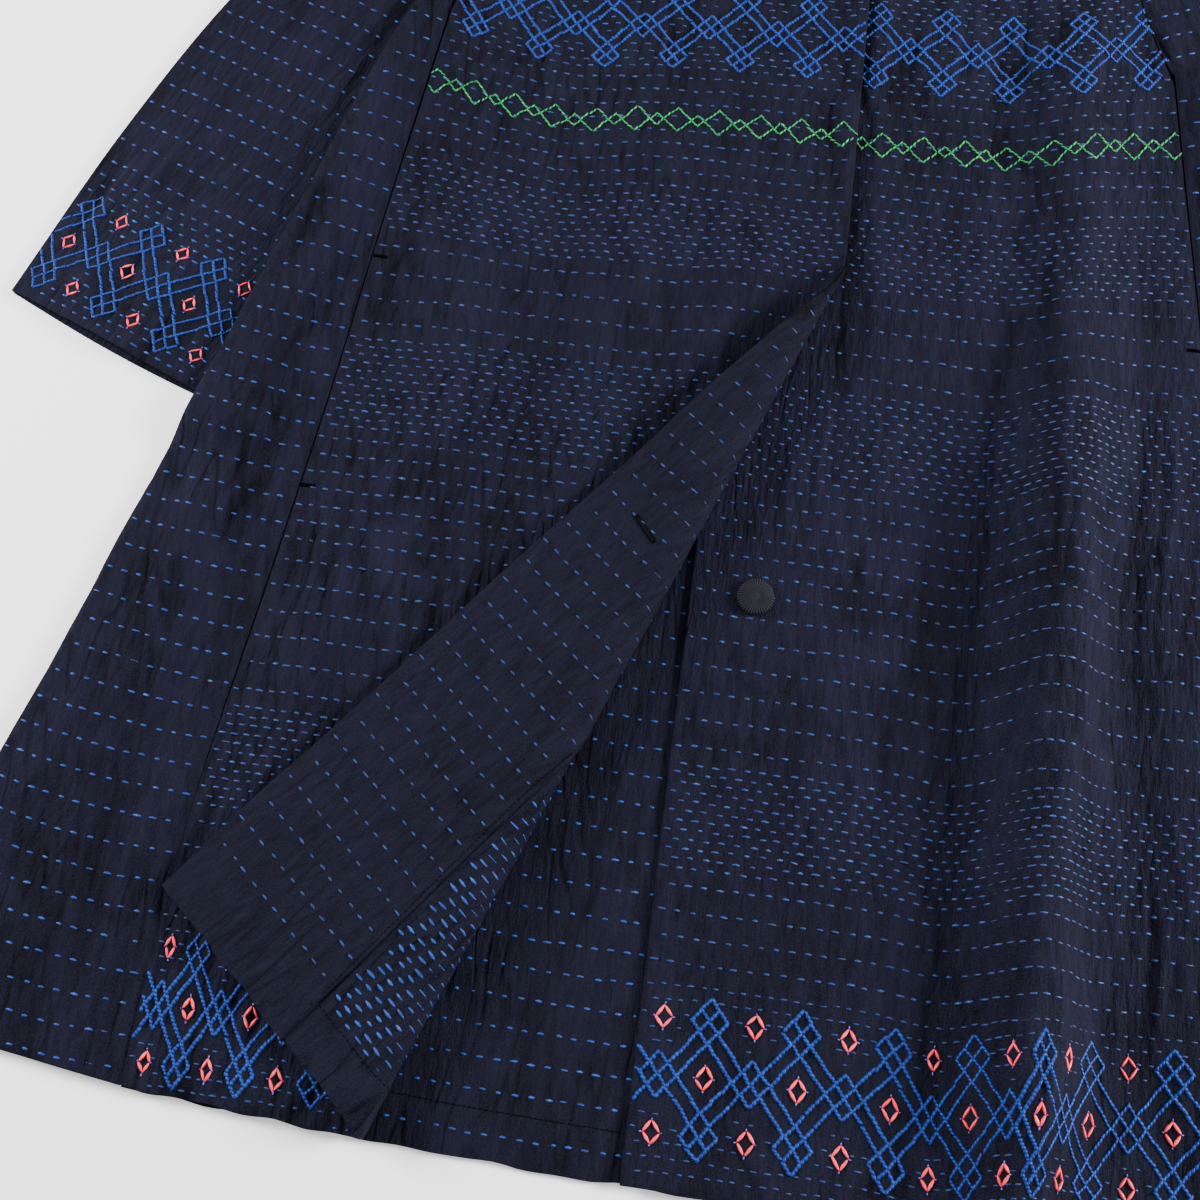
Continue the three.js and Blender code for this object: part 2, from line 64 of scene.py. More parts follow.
# soft folds: panel, x0, y0, x1, y1, width to the left, width to the right, height. Across its line a
# fold is exp(-|side / width|^crownPower), rather flat on top
crownPower = 2.4
softFolds = [
    ("left", 170, 760, 174, 480, 22, 30, 12),
    ("left", 174, 480, 162, 20, 25, 29, 32),
    ("left", 132, 640, 139, 430, 9, 9, -1.2),
    ("left", 76, 400, 86, 40, 11, 11, -1.1),
    ("left", 236, 420, 268, 60, 20, 20, 3),
    ("right", -150, 470, -215, 350, 22, 22, 3),
    ("right", -188, 640, -200, 420, 26, 26, 2.4),
    ("right", -60, 700, -110, 520, 30, 30, 2),
    ("right", -240, 330, -262, 90, 18, 18, 2.6),
    ("side", 300, 420, 372, 60, 18, 18, 4),
    ("side", 330, 340, 410, 80, 14, 14, 3),
    ("side", 285, 330, 318, 40, 12, 12, 2.4),
]


def ease(t):  # 3t² - 2t³ between 0 and 1
    k = np.clip(t, 0.0, 1.0)
    return k * k * (3 - 2 * k)


def mix(a, b, t):
    return a + (b - a) * t


def readRows(rows, at, column=1):  # monotone cubic through the rows, straight on past the ends
    table = np.array(sorted(rows), float)
    xs, ys = table[:, 0], table[:, column]
    slope = np.diff(ys) / np.diff(xs)
    inner = slope[:-1] * slope[1:]
    mean = np.where(inner <= 0, 0, 2 * inner / np.where(slope[:-1] + slope[1:] == 0, 1, slope[:-1] + slope[1:]))
    tangent = np.concatenate([[slope[0]], mean, [slope[-1]]])
    at = np.asarray(at, float)
    i = np.clip(np.searchsorted(xs, at) - 1, 0, len(xs) - 2)
    step = xs[i + 1] - xs[i]
    t = (at - xs[i]) / step
    inside = ((2 * t**3 - 3 * t**2 + 1) * ys[i] + (t**3 - 2 * t**2 + t) * step * tangent[i]
              + (3 * t**2 - 2 * t**3) * ys[i + 1] + (t**3 - t**2) * step * tangent[i + 1])
    before = ys[0] + slope[0] * (at - xs[0])
    after = ys[-1] + slope[-1] * (at - xs[-1])
    return np.where(at < xs[0], before, np.where(at > xs[-1], after, inside))


def sideX(y):
    return readRows(sideRows, y)


def seamX(y):
    return np.where(np.asarray(y) > seamRows[0][0], readRows(armholeRows, y), readRows(seamRows, y))


def frontSeamX(y):  # the front panels' outer edge: the side seam and above it the armhole
    return seamX(np.minimum(y, justBelowShoulder))


def hemY(x):  # a shallow curve across the front, straight on past it
    a = np.abs(x)
    return np.where(a < 300, 0.00016 * a * a, 14.4 + (a - 300) * 0.132)


def topY(x, neckDrop):  # the shoulder line, and inside the neck width the neck's curve
    a = np.abs(x)
    k = np.clip(a / coat["neckHalf"], 0, 1)
    out = (a - coat["neckHalf"]) / (coat["shoulderX"] - coat["neckHalf"])
    shoulder = mix(coat["length"], coat["shoulderY"], out)
    neck = coat["length"] - neckDrop * np.power(np.clip(1 - k**2.6, 0, 1), 0.55)
    return np.where(a >= coat["neckHalf"], shoulder, neck)


def foldHeight(panel, x, y):  # sum of a panel's folds, each eased in and out at its ends
    height = np.zeros(np.broadcast(x, y).shape)
    for name, x0, y0, x1, y1, left, right, tall in softFolds:
        if name != panel:
            continue
        dx, dy = x1 - x0, y1 - y0
        t = ((x - x0) * dx + (y - y0) * dy) / (dx * dx + dy * dy)
        side = x - (x0 + dx * t)
        width = np.where(side < 0, left, right)
        ends = ease((t + 0.16) / 0.32) * ease((1.16 - t) / 0.32)
        height = height + tall * ends * np.exp(-np.abs(side / width) ** crownPower)
    return height


def sleeveLift(x, y):  # the side of the body is lifted where the sleeve lies under it
    along = ease((y - 366) / 30) * (1 - ease((y - 714) / 40))
    inner = readRows([(r[2], r[1]) for r in sleeveInnerRows], y)
    return 6.8 * along * ease((np.abs(x) - inner + 32) / 25)


def baseAir(x, y):  # air between two layers, wider at the hem and over the neck facing
    neck = ease((y - 836) / 24) * ease((118 - np.abs(x)) / 24)
    return coat["layerAir"] + coat["hemAir"] * (1 - ease((y - hemY(x)) / 46)) + coat["neckAir"] * neck


def sideRise(x, y):  # the outer 74 mm rise a little towards the side fold
    near = ease((np.abs(x) - sideX(np.minimum(y, coat["underarmY"])) + 74) / 74)
    return coat["sideLift"] * near + sleeveLift(x, y)


def leftMiddle(x, y):  # middle of the under front's wall
    calm = ease((x + 34) / 30) * (1 - 0.55 * ease((x - seamX(y) + 40) / 40))
    return wall * 1.5 + baseAir(x, y) + foldHeight("left", x, y) * calm + sideRise(x, y)


def freeEdge(y):  # free edge of the upper front, on its cloth before the corner is turned back
    return coat["overlap"] - coat["edgeDrift"] * ease((540 - y) / 1080) * 2


turnTop = np.array([26.0, 541.0])
turnFoot = np.array([-179.5, 6.5])
turnAlong = (turnFoot - turnTop) / np.linalg.norm(turnFoot - turnTop)
turnOut = np.array([-turnAlong[1], turnAlong[0]])


def pastTurn(x, y):  # distance past the turn line, square to it
    return (x - turnTop[0]) * turnOut[0] + (y - turnTop[1]) * turnOut[1]


def turnLineX(y):
    return turnTop[0] + (turnTop[1] - y) * turnOut[1] / turnOut[0]


def rightMiddle(x, y):  # middle of the upper front's wall where it lies face up
    onLeft = ease((x + coat["overlap"] + 34) / 30)
    under = mix(wall / 2, leftMiddle(np.maximum(x, -coat["overlap"]), y), onLeft)
    calm = 1 - 0.6 * ease((-x - seamX(y) + 40) / 40)
    out = pastTurn(x, y)
    along = (x - turnTop[0]) * turnAlong[0] + (y - turnTop[1]) * turnAlong[1]
    near = np.exp(-(((out + 44) / 22) ** 2))
    swell = 5.2 * near * ease((along + 40) / 60) * (1 - ease((along - 90) / 90))
    curl = coat["edgeCurl"] * np.exp(-(((x - freeEdge(y)) / 15) ** 2)) * ease((y - 430) / 60)
    return (under + wall + baseAir(x, y) * mix(1, 0.75, onLeft) + foldHeight("right", x, y) * calm
            + sideRise(x, y) * (1 - onLeft) + swell + curl)


def turnedMiddle(s, t):
    # Up to the turn line the cloth lies flat, then it takes a half round, and past that it lies back
    # over itself, mirrored in the turn line and one layer above
    s, t = np.broadcast_arrays(np.asarray(s, float), np.asarray(t, float))
    along = (s - turnTop[0]) * turnAlong[0] + (t - turnTop[1]) * turnAlong[1]
    out = pastTurn(s, t)
    r = coat["foldRadius"]
    footX, footY = s - turnOut[0] * out, t - turnOut[1] * out
    footZ = rightMiddle(footX, footY)
    turn = np.clip(out / r, 0, math.pi)
    roundX = footX + turnOut[0] * r * np.sin(turn)
    roundY = footY + turnOut[1] * r * np.sin(turn)
    roundZ = footZ + r * (1 - np.cos(turn))
    back = np.maximum(out - math.pi * r, 0)
    backX, backY = footX - turnOut[0] * back, footY - turnOut[1] * back
    rest = wall + coat["hemTurnThickness"] + 0.9
    fall = np.exp(-((back / 30) ** 1.6))
    lifted = 3.2 * ease((220 - along) / 160)
    ripple = 1.3 * np.sin(along / 38 + back / 60) * ease(back / 40)
    backZ = rightMiddle(backX, backY) + rest + (2 * r - rest) * fall + (lifted + 1.3 + ripple) * (1 - fall)
    flat, rolled = out <= 0, (out > 0) & (out < math.pi * r)
    x = np.where(flat, s, np.where(rolled, roundX, backX))
    y = np.where(flat, t, np.where(rolled, roundY, backY))
    z = np.where(flat, rightMiddle(s, t), np.where(rolled, roundZ, backZ))
    return np.stack([x, y, z], -1)


# Soft random waves: values at the corners of a grid of cells, eased between them
def softNoise(u, v, cellU, cellV, seed):
    table = np.random.default_rng(seed).uniform(-1, 1, (256, 256))
    a, b = np.asarray(u) / cellU, np.asarray(v) / cellV
    i, j = np.floor(a).astype(int), np.floor(b).astype(int)
    fa, fb = ease(a - i), ease(b - j)
    p = table[i % 256, j % 256] * (1 - fa) + table[(i + 1) % 256, j % 256] * fa
    q = table[i % 256, (j + 1) % 256] * (1 - fa) + table[(i + 1) % 256, (j + 1) % 256] * fa
    return p * (1 - fb) + q * fb


# The quilting draws the cloth in along its rows, so it crinkles across them: ridges and sharp narrow
# creases that run along the coat, of uneven length and depth, strong in some places, faint in others
crinkle = dict(fine=0.4, middle=1.2, wide=0.85, crease=1.35, creaseWidth=0.16, fineCell=(3.4, 15),
               middleCell=(6.8, 27), wideCell=(21, 110), creaseCell=(10.5, 36))


def relief(u, v, strength=1.0):
    # middle and fine waves where the patch noise is high, wide waves everywhere, and a crease of
    # bell section along each line on which another soft noise passes through zero
    lean = u + 6 * softNoise(u, v, 55, 85, 5)
    patch = np.clip(0.72 + 0.6 * softNoise(u, v, 60, 80, 11), 0.2, 1.35)
    fine = crinkle["fine"] * softNoise(lean, v, *crinkle["fineCell"], 1)
    middle = crinkle["middle"] * softNoise(lean, v, *crinkle["middleCell"], 2)
    wide = crinkle["wide"] * softNoise(u, v, *crinkle["wideCell"], 3)
    line = softNoise(lean, v, *crinkle["creaseCell"], 4) / crinkle["creaseWidth"]
    deep = crinkle["crease"] * np.exp(-line**2) * np.clip(0.45 + 1.1 * softNoise(u, v, 34, 62, 6), 0, 1)
    return (patch * (fine + middle) + wide - deep) * strength


def normalsOf(points):  # cross product of the grid's two directions
    across = np.gradient(points, axis=1)
    down = np.gradient(points, axis=0)
    n = np.cross(across, down)
    return n / np.maximum(np.linalg.norm(n, axis=2, keepdims=True), 1e-9)


def makeMesh(name, points, faces, uv=None, shade=None):
    mesh = bpy.data.meshes.new(name)
    world = (np.asarray(points, float) - np.array([0, coat["length"] / 2, 0])) * toMetres
    mesh.from_pydata(world.tolist(), [], faces.tolist())
    mesh.polygons.foreach_set("use_smooth", np.ones(len(faces), bool))
    if uv is not None:
        layer = mesh.uv_layers.new(name="cloth")
        loops = np.empty(len(mesh.loops), int)
        mesh.loops.foreach_get("vertex_index", loops)
        layer.data.foreach_set("uv", (uv[loops] * toMetres).ravel())
    if shade is not None:
        mesh.attributes.new("shade", "FLOAT", "POINT").data.foreach_set("value", shade)
    mesh.update()
    piece = bpy.data.objects.new(name, mesh)
    bpy.context.scene.collection.objects.link(piece)
    return piece


def gridFaces(rows, columns, wrap=False):
    i, j = np.meshgrid(np.arange(rows - 1), np.arange(columns if wrap else columns - 1), indexing="ij")
    a = i * columns + j
    b = i * columns + (j + 1) % columns
    return np.stack([a, b, b + columns, a + columns], -1).reshape(-1, 4)


def wallFaces(rows, columns):  # both faces of a grid and the four edges between them
    size = rows * columns
    top = gridFaces(rows, columns)
    under = top[:, ::-1] + size
    j, i = np.arange(columns - 1), np.arange(rows - 1)
    end = (rows - 1) * columns
    first = np.stack([j, size + j, size + j + 1, j + 1], -1)
    last = np.stack([end + j, end + j + 1, size + end + j + 1, size + end + j], -1)
    left = np.stack([i * columns, (i + 1) * columns, size + (i + 1) * columns, size + i * columns], -1)
    r = i * columns + columns - 1
    right = np.stack([r, size + r, size + r + columns, r + columns], -1)
    return np.concatenate([top, under, first, last, left, right])


def paleness(waves):  # painted shade of the relief: lower in the deepest creases, higher on the ridges, between 0 and 1
    return np.clip(0.54 + 0.15 * waves, 0, 1)


def clothWall(name, middle, u, v, upper, lower, waves=0.0):
    # middle: grid of points on the wall's middle; upper, lower: how far each face lies from it
    n = normalsOf(middle)
    top = middle + n * np.broadcast_to(upper, n.shape[:2])[..., None]
    under = middle - n * np.broadcast_to(lower, n.shape[:2])[..., None]
    rows, columns = middle.shape[:2]
    points = np.concatenate([top.reshape(-1, 3), under.reshape(-1, 3)])
    flat = np.stack([u.ravel(), v.ravel()], -1)
    # painted shade: the colour is paler on the ridges and darker in the creases
    pale = np.tile(paleness(np.broadcast_to(waves, n.shape[:2])).ravel(), 2)
    return makeMesh(name, points, wallFaces(rows, columns), np.concatenate([flat, flat]), pale)


def shares(count, edge=0.0):  # even shares from 0 to 1, with close ones near both ends
    inner = np.linspace(edge * 4, 1 - edge * 4, count)
    near = np.array([0, 0.5, 1.2, 2.4]) * edge
    return np.concatenate([near, inner, 1 - near[::-1]]) if edge else np.linspace(0, 1, count)


def hemRipple(x, k):  # the hem's edge isn't straight: small waves that fade up the panel
    return 1.2 * softNoise(x, 0 * x, 17, 1, 41) * np.power(1 - k, 8)


def roundedEdge(distance):  # a wall thins to a round edge over its last 1.4 mm
    k = np.clip(distance / 1.4, 0, 1)
    return np.sqrt(np.clip(1 - (1 - k) ** 2, 0.06, 1))


seamMeet = 0.25  # past the solids' gap, so that the two panels meet at the bottom of the valley


def seamDip(distance):  # the cloth sinks a little into each seam
    return -0.6 * np.exp(-((distance / 2.2) ** 2))


print("surfaces ready")


def linear(code):  # sRGB hex to linear
    values = [int(code[i:i + 2], 16) / 255 for i in (1, 3, 5)]
    return tuple(c / 12.92 if c <= 0.04045 else ((c + 0.055) / 1.055) ** 2.4 for c in values) + (1.0,)


def addNode(tree, kind, links=None, values=None, **settings):
    # adds a node with its links, its numbered inputs and its settings
    node = tree.nodes.new(kind)
    for key, value in settings.items():
        if hasattr(type(node), key) or key not in node.inputs:
            setattr(node, key, value)
        else:
            node.inputs[key].default_value = value
    for socket, value in (values or {}).items():
        node.inputs[socket].default_value = value
    for socket, source in (links or {}).items():
        tree.links.new(source, node.inputs[socket])
    return node


def newMaterial(name):
    material = bpy.data.materials.new(name)
    material.use_nodes = True
    tree = material.node_tree
    tree.nodes.clear()
    shader = addNode(tree, "ShaderNodeBsdfPrincipled")
    output = addNode(tree, "ShaderNodeOutputMaterial", {"Surface": shader.outputs[0]})
    return material, tree, shader


def wovenCotton(name, dark, light, thread=0.42, crumple=1.0):
    # Plain woven cotton, yarn dyed and washed: matt, a grid of threads with slubs, with painted shade darkening
    # its creases
    material, tree, shader = newMaterial(name)
    place = addNode(tree, "ShaderNodeUVMap", uv_map="cloth")
    millimetres = addNode(tree, "ShaderNodeVectorMath", {0: place.outputs[0]}, operation="SCALE", Scale=1000)
    split = addNode(tree, "ShaderNodeSeparateXYZ", {0: millimetres.outputs[0]})
    crease = addNode(tree, "ShaderNodeMapping", {"Vector": millimetres.outputs[0]}, Scale=(0.3, 0.07, 1))
    creaseNoise = addNode(tree, "ShaderNodeTexNoise", {"Vector": crease.outputs[0]}, Scale=1.0, Detail=4,
                          Roughness=0.6)
    yarns = [addNode(tree, "ShaderNodeMath", {0: split.outputs[k]}, {1: 2 * math.pi / thread},
                     operation="MULTIPLY") for k in (0, 1)]
    waves = [addNode(tree, "ShaderNodeMath", {0: yarn.outputs[0]}, operation="SINE") for yarn in yarns]
    weave = addNode(tree, "ShaderNodeMath", {0: waves[0].outputs[0], 1: waves[1].outputs[0]},
                    operation="MULTIPLY")
    slub = addNode(tree, "ShaderNodeTexNoise", {"Vector": millimetres.outputs[0]}, Scale=1.1, Detail=3)
    # the shade attribute holds painted shade: darker in the creases and hollows of the relief, and in painted
    # shadow strips by the upper front's free edge
    paintedShade = addNode(tree, "ShaderNodeAttribute", attribute_name="shade")
    grain = addNode(tree, "ShaderNodeMath", {0: slub.outputs[0]}, {1: 1.9}, operation="MULTIPLY")
    # painted shade: the crinkle noise that shapes the soft bump also lowers the colour in its hollows
    tone = addNode(tree, "ShaderNodeMath", {0: grain.outputs[0], 1: creaseNoise.outputs[0]}, operation="ADD")
    both = addNode(tree, "ShaderNodeMath", {0: tone.outputs[0], 1: paintedShade.outputs["Fac"]}, operation="ADD")
    ramp = addNode(tree, "ShaderNodeMapRange", {0: both.outputs[0]}, {1: 1.4, 2: 2.65})
    # narrow creases lie where a stretched noise passes its middle value, about 10 mm apart and 30 to
    # 60 mm long, in patches, with most of them on the wearer's right side, where the coat was gathered
    long = addNode(tree, "ShaderNodeMapping", {"Vector": millimetres.outputs[0]}, Scale=(0.1, 0.017, 1))
    wander = addNode(tree, "ShaderNodeTexNoise", {"Vector": long.outputs[0]}, Scale=1.0, Detail=0.4,
                     Distortion=0.2)
    off = addNode(tree, "ShaderNodeMath", {0: wander.outputs[0]}, {1: 0.5}, operation="SUBTRACT")
    away = addNode(tree, "ShaderNodeMath", {0: off.outputs[0]}, operation="ABSOLUTE")
    line = addNode(tree, "ShaderNodeMapRange", {0: away.outputs[0]}, {1: 0.0, 2: 0.085, 3: 1.0, 4: 0.0},
                   interpolation_type="SMOOTHSTEP")
    patch = addNode(tree, "ShaderNodeTexNoise", {"Vector": millimetres.outputs[0]}, Scale=0.017, Detail=1)
    where = addNode(tree, "ShaderNodeMapRange", {0: patch.outputs[0]}, {1: 0.36, 2: 0.62})
    gathered = addNode(tree, "ShaderNodeMapRange", {0: split.outputs[0]}, {1: 40, 2: -130, 3: 0.35, 4: 1.0})
    depth = addNode(tree, "ShaderNodeMath", {0: where.outputs[0], 1: gathered.outputs[0]}, operation="MULTIPLY")
    cut = addNode(tree, "ShaderNodeMath", {0: line.outputs[0], 1: depth.outputs[0]}, operation="MULTIPLY")
    # painted shade: the narrow creases are darkened in colour as well as cut into the bump
    shaded = addNode(tree, "ShaderNodeMath", {0: cut.outputs[0]}, {1: -0.22}, operation="MULTIPLY")
    paler = addNode(tree, "ShaderNodeMath", {0: ramp.outputs[0], 1: shaded.outputs[0]}, operation="ADD",
                    use_clamp=True)
    colour = addNode(tree, "ShaderNodeMix", {0: paler.outputs[0]}, {6: linear(dark), 7: linear(light)},
                     data_type="RGBA")
    tree.links.new(colour.outputs[2], shader.inputs["Base Color"])
    deep = addNode(tree, "ShaderNodeBump", {"Height": cut.outputs[0]}, Strength=1.0, Distance=0.0012 * crumple,
                   invert=True)
    soft = addNode(tree, "ShaderNodeBump", {"Height": creaseNoise.outputs[0], "Normal": deep.outputs[0]},
                   Strength=0.9, Distance=0.0024 * crumple)
    fibres = addNode(tree, "ShaderNodeBump", {"Height": slub.outputs[0], "Normal": soft.outputs[0]},
                     Strength=0.7, Distance=0.0005)
    threads = addNode(tree, "ShaderNodeBump", {"Height": weave.outputs[0], "Normal": fibres.outputs[0]},
                      Strength=0.35, Distance=0.00012)
    tree.links.new(threads.outputs[0], shader.inputs["Normal"])
    shader.inputs["Roughness"].default_value = 0.88
    shader.inputs["Specular IOR Level"].default_value = 0.05
    return material


def strandedThread(name, deep, bright, grain, lowest):
    # what all the threads share: each stitch or rib has its own tone, which carries its painted shade, broken
    # up by its fine strands
    material, tree, shader = newMaterial(name)
    shade = addNode(tree, "ShaderNodeAttribute", attribute_name="shade")
    place = addNode(tree, "ShaderNodeTexCoord")
    strands = addNode(tree, "ShaderNodeTexNoise", {"Vector": place.outputs["Object"]}, Scale=grain)
    tone = addNode(tree, "ShaderNodeMath", {0: shade.outputs["Fac"], 1: strands.outputs[0]},
                   operation="MULTIPLY")
    lift = addNode(tree, "ShaderNodeMapRange", {0: tone.outputs[0]}, {1: lowest, 2: 0.55})
    colour = addNode(tree, "ShaderNodeMix", {0: lift.outputs[0]}, {6: linear(deep), 7: linear(bright)},
                     data_type="RGBA")
    return material, tree, shader, strands, tone, colour


def finishThread(tree, shader, colour, strands, depth, roughness, gloss):
    tree.links.new(colour.outputs[2], shader.inputs["Base Color"])
    bump = addNode(tree, "ShaderNodeBump", {"Height": strands.outputs[0]}, Strength=0.5, Distance=depth)
    tree.links.new(bump.outputs[0], shader.inputs["Normal"])
    shader.inputs["Roughness"].default_value = roughness
    shader.inputs["Specular IOR Level"].default_value = gloss


def embroideryThread(name, deep, bright, tip, gloss=0.3):
    # Stranded cotton thread: a soft shine, and some paler strands, most of them on the stitches' painted pale
    # middles
    material, tree, shader, strands, tone, colour = strandedThread(name, deep, bright, 900, 0.1)
    flick = addNode(tree, "ShaderNodeMapRange", {0: tone.outputs[0]}, {1: 0.5, 2: 0.72})
    paler = addNode(tree, "ShaderNodeMix", {0: flick.outputs[0], 6: colour.outputs[2]}, {7: linear(tip)},
                    data_type="RGBA")
    finishThread(tree, shader, paler, strands, 0.0003, 0.55, gloss)
    return material


def woundSilk(name, grooveShade, strand):
    # Silk thread wound over a button mould: matt charcoal, darker at random between its strands and with
    # painted shade in the grooves between its ribs
    material, tree, shader, strands, _, colour = strandedThread(name, grooveShade, strand, 1400, 0.05)
    finishThread(tree, shader, colour, strands, 0.0002, 0.75, 0.1)
    return material


buttonSilk = woundSilk("charcoalSilk", "#08080c", "#25262f")
shellCotton = wovenCotton("navyQuiltedCotton", "#050509", "#1c1d2e")
insideCotton = wovenCotton("navyCottonInside", "#06060a", "#1b1c2c", crumple=0.7)
quiltThread = embroideryThread("blueQuiltingThread", "#0e2250", "#1e3a6e", "#425e90")
blueThread = embroideryThread("blueRunningThread", "#0c2662", "#1b4184", "#4067a2")
latticeThread = embroideryThread("brightBlueThread", "#042064", "#09337e", "#1c4a94")
pinkThread = embroideryThread("coralPinkThread", "#e23f50", "#f55c64", "#ff929a")
violetThread = embroideryThread("violetThread", "#4a3aa0", "#6a5ac8", "#8f80e0")
greenThread = embroideryThread("greenThread", "#1a7044", "#339a55", "#78c86a")
darkThread = embroideryThread("navySewingThread", "#030304", "#060609", "#0b0b10", gloss=0.04)


def dress(piece, material, slotName, *nodes):
    piece.data.materials.append(material)
    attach(piece, "root")
    if nodes:
        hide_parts(*nodes)
    return piece


backLook = dict(rows=150, columns=96)


def backLift(x, y):  # what the crinkles and the turned hem add to the back's upper face
    fold = np.minimum(y - hemY(x), 400)
    turned = coat["hemTurnThickness"] * 0.7 * (1 - ease((fold - coat["hemTurn"] + 0.8) / 1.6))
    return np.clip(relief(x, y) * 0.55 + 0.25, -0.35, 0.9) + turned


def backPanel():
    k = shares(backLook["rows"], 0.0006)[:, None]
    j = np.concatenate([-shares(backLook["columns"] // 2)[:0:-1], shares(backLook["columns"] // 2)])[None, :]
    seamY = coat["seamFoot"] + seamLength * k
    x = j * (seamX(seamY) - coat["seamGap"] / 2 + seamMeet)
    y = mix(hemY(x), topY(x, coat["backNeckDrop"]), k) + hemRipple(x, k)
    middle = np.stack([x, y, np.full(x.shape, wall / 2)], -1)
    return clothWall("backCloth", middle, x, y, wall / 2 + backLift(x, y), wall / 2, relief(x, y))


frontLook = dict(rows=200, columns=146, face=120)


def leftGrid():
    k = shares(frontLook["rows"], 0.0006)[:, None]
    j = shares(frontLook["columns"], 0.0022)[None, :]
    seamY = coat["seamFoot"] + seamLength * k
    x = mix(-coat["overlap"], seamX(seamY) - coat["seamGap"] / 2 + seamMeet, j)
    y = mix(hemY(x), topY(x, coat["frontNeckDrop"]), k) + hemRipple(x + 90, k)
    return x, y, seamY


def leftRelief(x, y):  # weaker where the other front lies over it and beside the turned corner
    seam = frontSeamX(y) - x
    hidden = ease((-4 - pastTurn(x, y)) / 8) * ease((freeEdge(y) - 4 - x) / 8)
    calm = 0.6 * np.exp(-(((x + 5) / 32) ** 2)) * ease((y - 270) / 70) * ease((500 - y) / 50)
    edges = ease(seam / 8) * ease((x + coat["overlap"] + 1) / 6)
    waves = relief(x, y) * (1 - np.maximum(0.8 * hidden, calm)) * edges
    return waves + seamDip(seam) - 1.1 * besideEdge(x, y)


def besideEdge(x, y):  # 1 just outside the upper front's free edge, above the turned corner
    return np.exp(-(((x - freeEdge(y) - 1.6) / 2.6) ** 2)) * ease((y - 440) / 60)


def leftFront():  # beside the upper front's edge the cloth is pressed down, and its colour is darkened as a painted shadow of that edge
    x, y, seamY = leftGrid()
    middle = np.stack([x, y, leftMiddle(x, y)], -1)
    edge = roundedEdge(np.minimum(x + coat["overlap"], y - hemY(x)))
    waves = leftRelief(x, y)
    # the shade passed here takes a painted shadow in the strip beside the upper front's edge
    return clothWall("frontLeftCloth", middle, x, y, wall / 2 * edge + waves, wall / 2 * edge,
                     waves - 2.5 * besideEdge(x, y))


def rightColumns(seam, t):  # cloth columns of the upper front: face, turn, turned corner
    edge = freeEdge(t)
    start = np.minimum(turnLineX(t), edge - 2.4)
    roll = np.minimum(math.pi * coat["foldRadius"] / turnOut[0], (edge - start) * 0.55)
    inner = np.maximum(edge - coat["facingWidth"], mix(start + roll, edge, 0.08))
    face = mix(seam, start, shares(frontLook["face"], 0.0022)[None, :-1])
    turn = start + roll * np.linspace(0, 1, 15)[None, :-1]
    plain = mix(start + roll, inner, np.linspace(0, 1, 16)[None, :-1])
    facing = mix(inner, edge, shares(34, 0.004)[None, :])
    return np.concatenate([face, turn, plain, facing], 1), start, roll


def rightGrid():
    k = shares(frontLook["rows"], 0.0006)[:, None]
    seamY = coat["seamFoot"] + seamLength * k
    s, start, roll = rightColumns(-seamX(seamY) + coat["seamGap"] / 2 - seamMeet, seamY - coat["seamFoot"])
    t = mix(hemY(s), topY(s, coat["frontNeckDrop"]), k) + hemRipple(s + 31, k)
    return s, t, start, roll


def rightRelief(s, t):  # weaker on the turned corner and at the edges
    seam = frontSeamX(t) + s
    calm = 1 - 0.65 * ease((pastTurn(s, t) + 4) / 10)
    edge = ease((freeEdge(t) - s + 1) / 6)
    return relief(s, t) * ease(seam / 8) * calm * edge + seamDip(seam)


def hemExtra(x, y):  # the hem is turned up on the wrong side and thickens it there
    return coat["hemTurnThickness"] * (1 - ease((y - hemY(x) - coat["hemTurn"] + 0.8) / 1.6))


def paintedGapShade(s, t):  # painted shade: 1 along the free edge at the top of the turned corner, where the cloth's colour is darkened to look like a shaded gap
    return np.exp(-(((freeEdge(t) - s) / 5.5) ** 2)) * ease((t - 474) / 14) * ease((546 - t) / 10)


def rightFront():
    s, t, start, roll = rightGrid()
    middle = turnedMiddle(s, t)
    edge = roundedEdge(np.minimum(freeEdge(t - hemY(s)) - s, t - hemY(s)))
    wrongSide = wall / 2 * edge + hemExtra(s, t)
    waves = rightRelief(s, t)
    turned = ease(pastTurn(s, t) / 8)
    # its colour takes painted shade of the relief, and a painted shaded strip along the top of the free edge
    front = clothWall("frontRightCloth", middle, s, t, wall / 2 * edge + waves * (1 - turned),
                      wrongSide - waves * turned, waves - 2.5 * paintedGapShade(s, t) * turned)
    # the facing lies on the wrong side, from its inner edge, or from inside the half round, to the edge
    free = freeEdge(t[:, [0]] - hemY(s[:, [0]]))
    inner = np.maximum(free - coat["facingWidth"], start + roll * 0.12)
    rows = int((free - inner > 5).sum())
    fs = mix(inner, free, shares(52, 0.004)[None, :])[:rows]
    k = shares(frontLook["rows"], 0.0006)[:rows, None]
    ft = mix(hemY(fs), topY(fs, coat["frontNeckDrop"]), k) + hemRipple(fs + 31, k)
    crinkles = rightRelief(fs, ft)
    near = wall / 2 + hemExtra(fs, ft) + coat["seamGap"] - crinkles * ease(pastTurn(fs, ft) / 8)
    edgeIn = roundedEdge(np.minimum(fs - fs[:, [0]], free[:rows] - fs + 0.4))
    far = near + coat["facingThickness"] * edgeIn
    # the facing's colour takes the same painted shaded strip along the top of the free edge
    facing = clothWall("frontFacing", turnedMiddle(fs, ft), fs, ft, -near, far,
                       -crinkles - 2.5 * paintedGapShade(fs, ft))
    return front, facing


sideLook = dict(rows=170, across=70, onward=3.7)


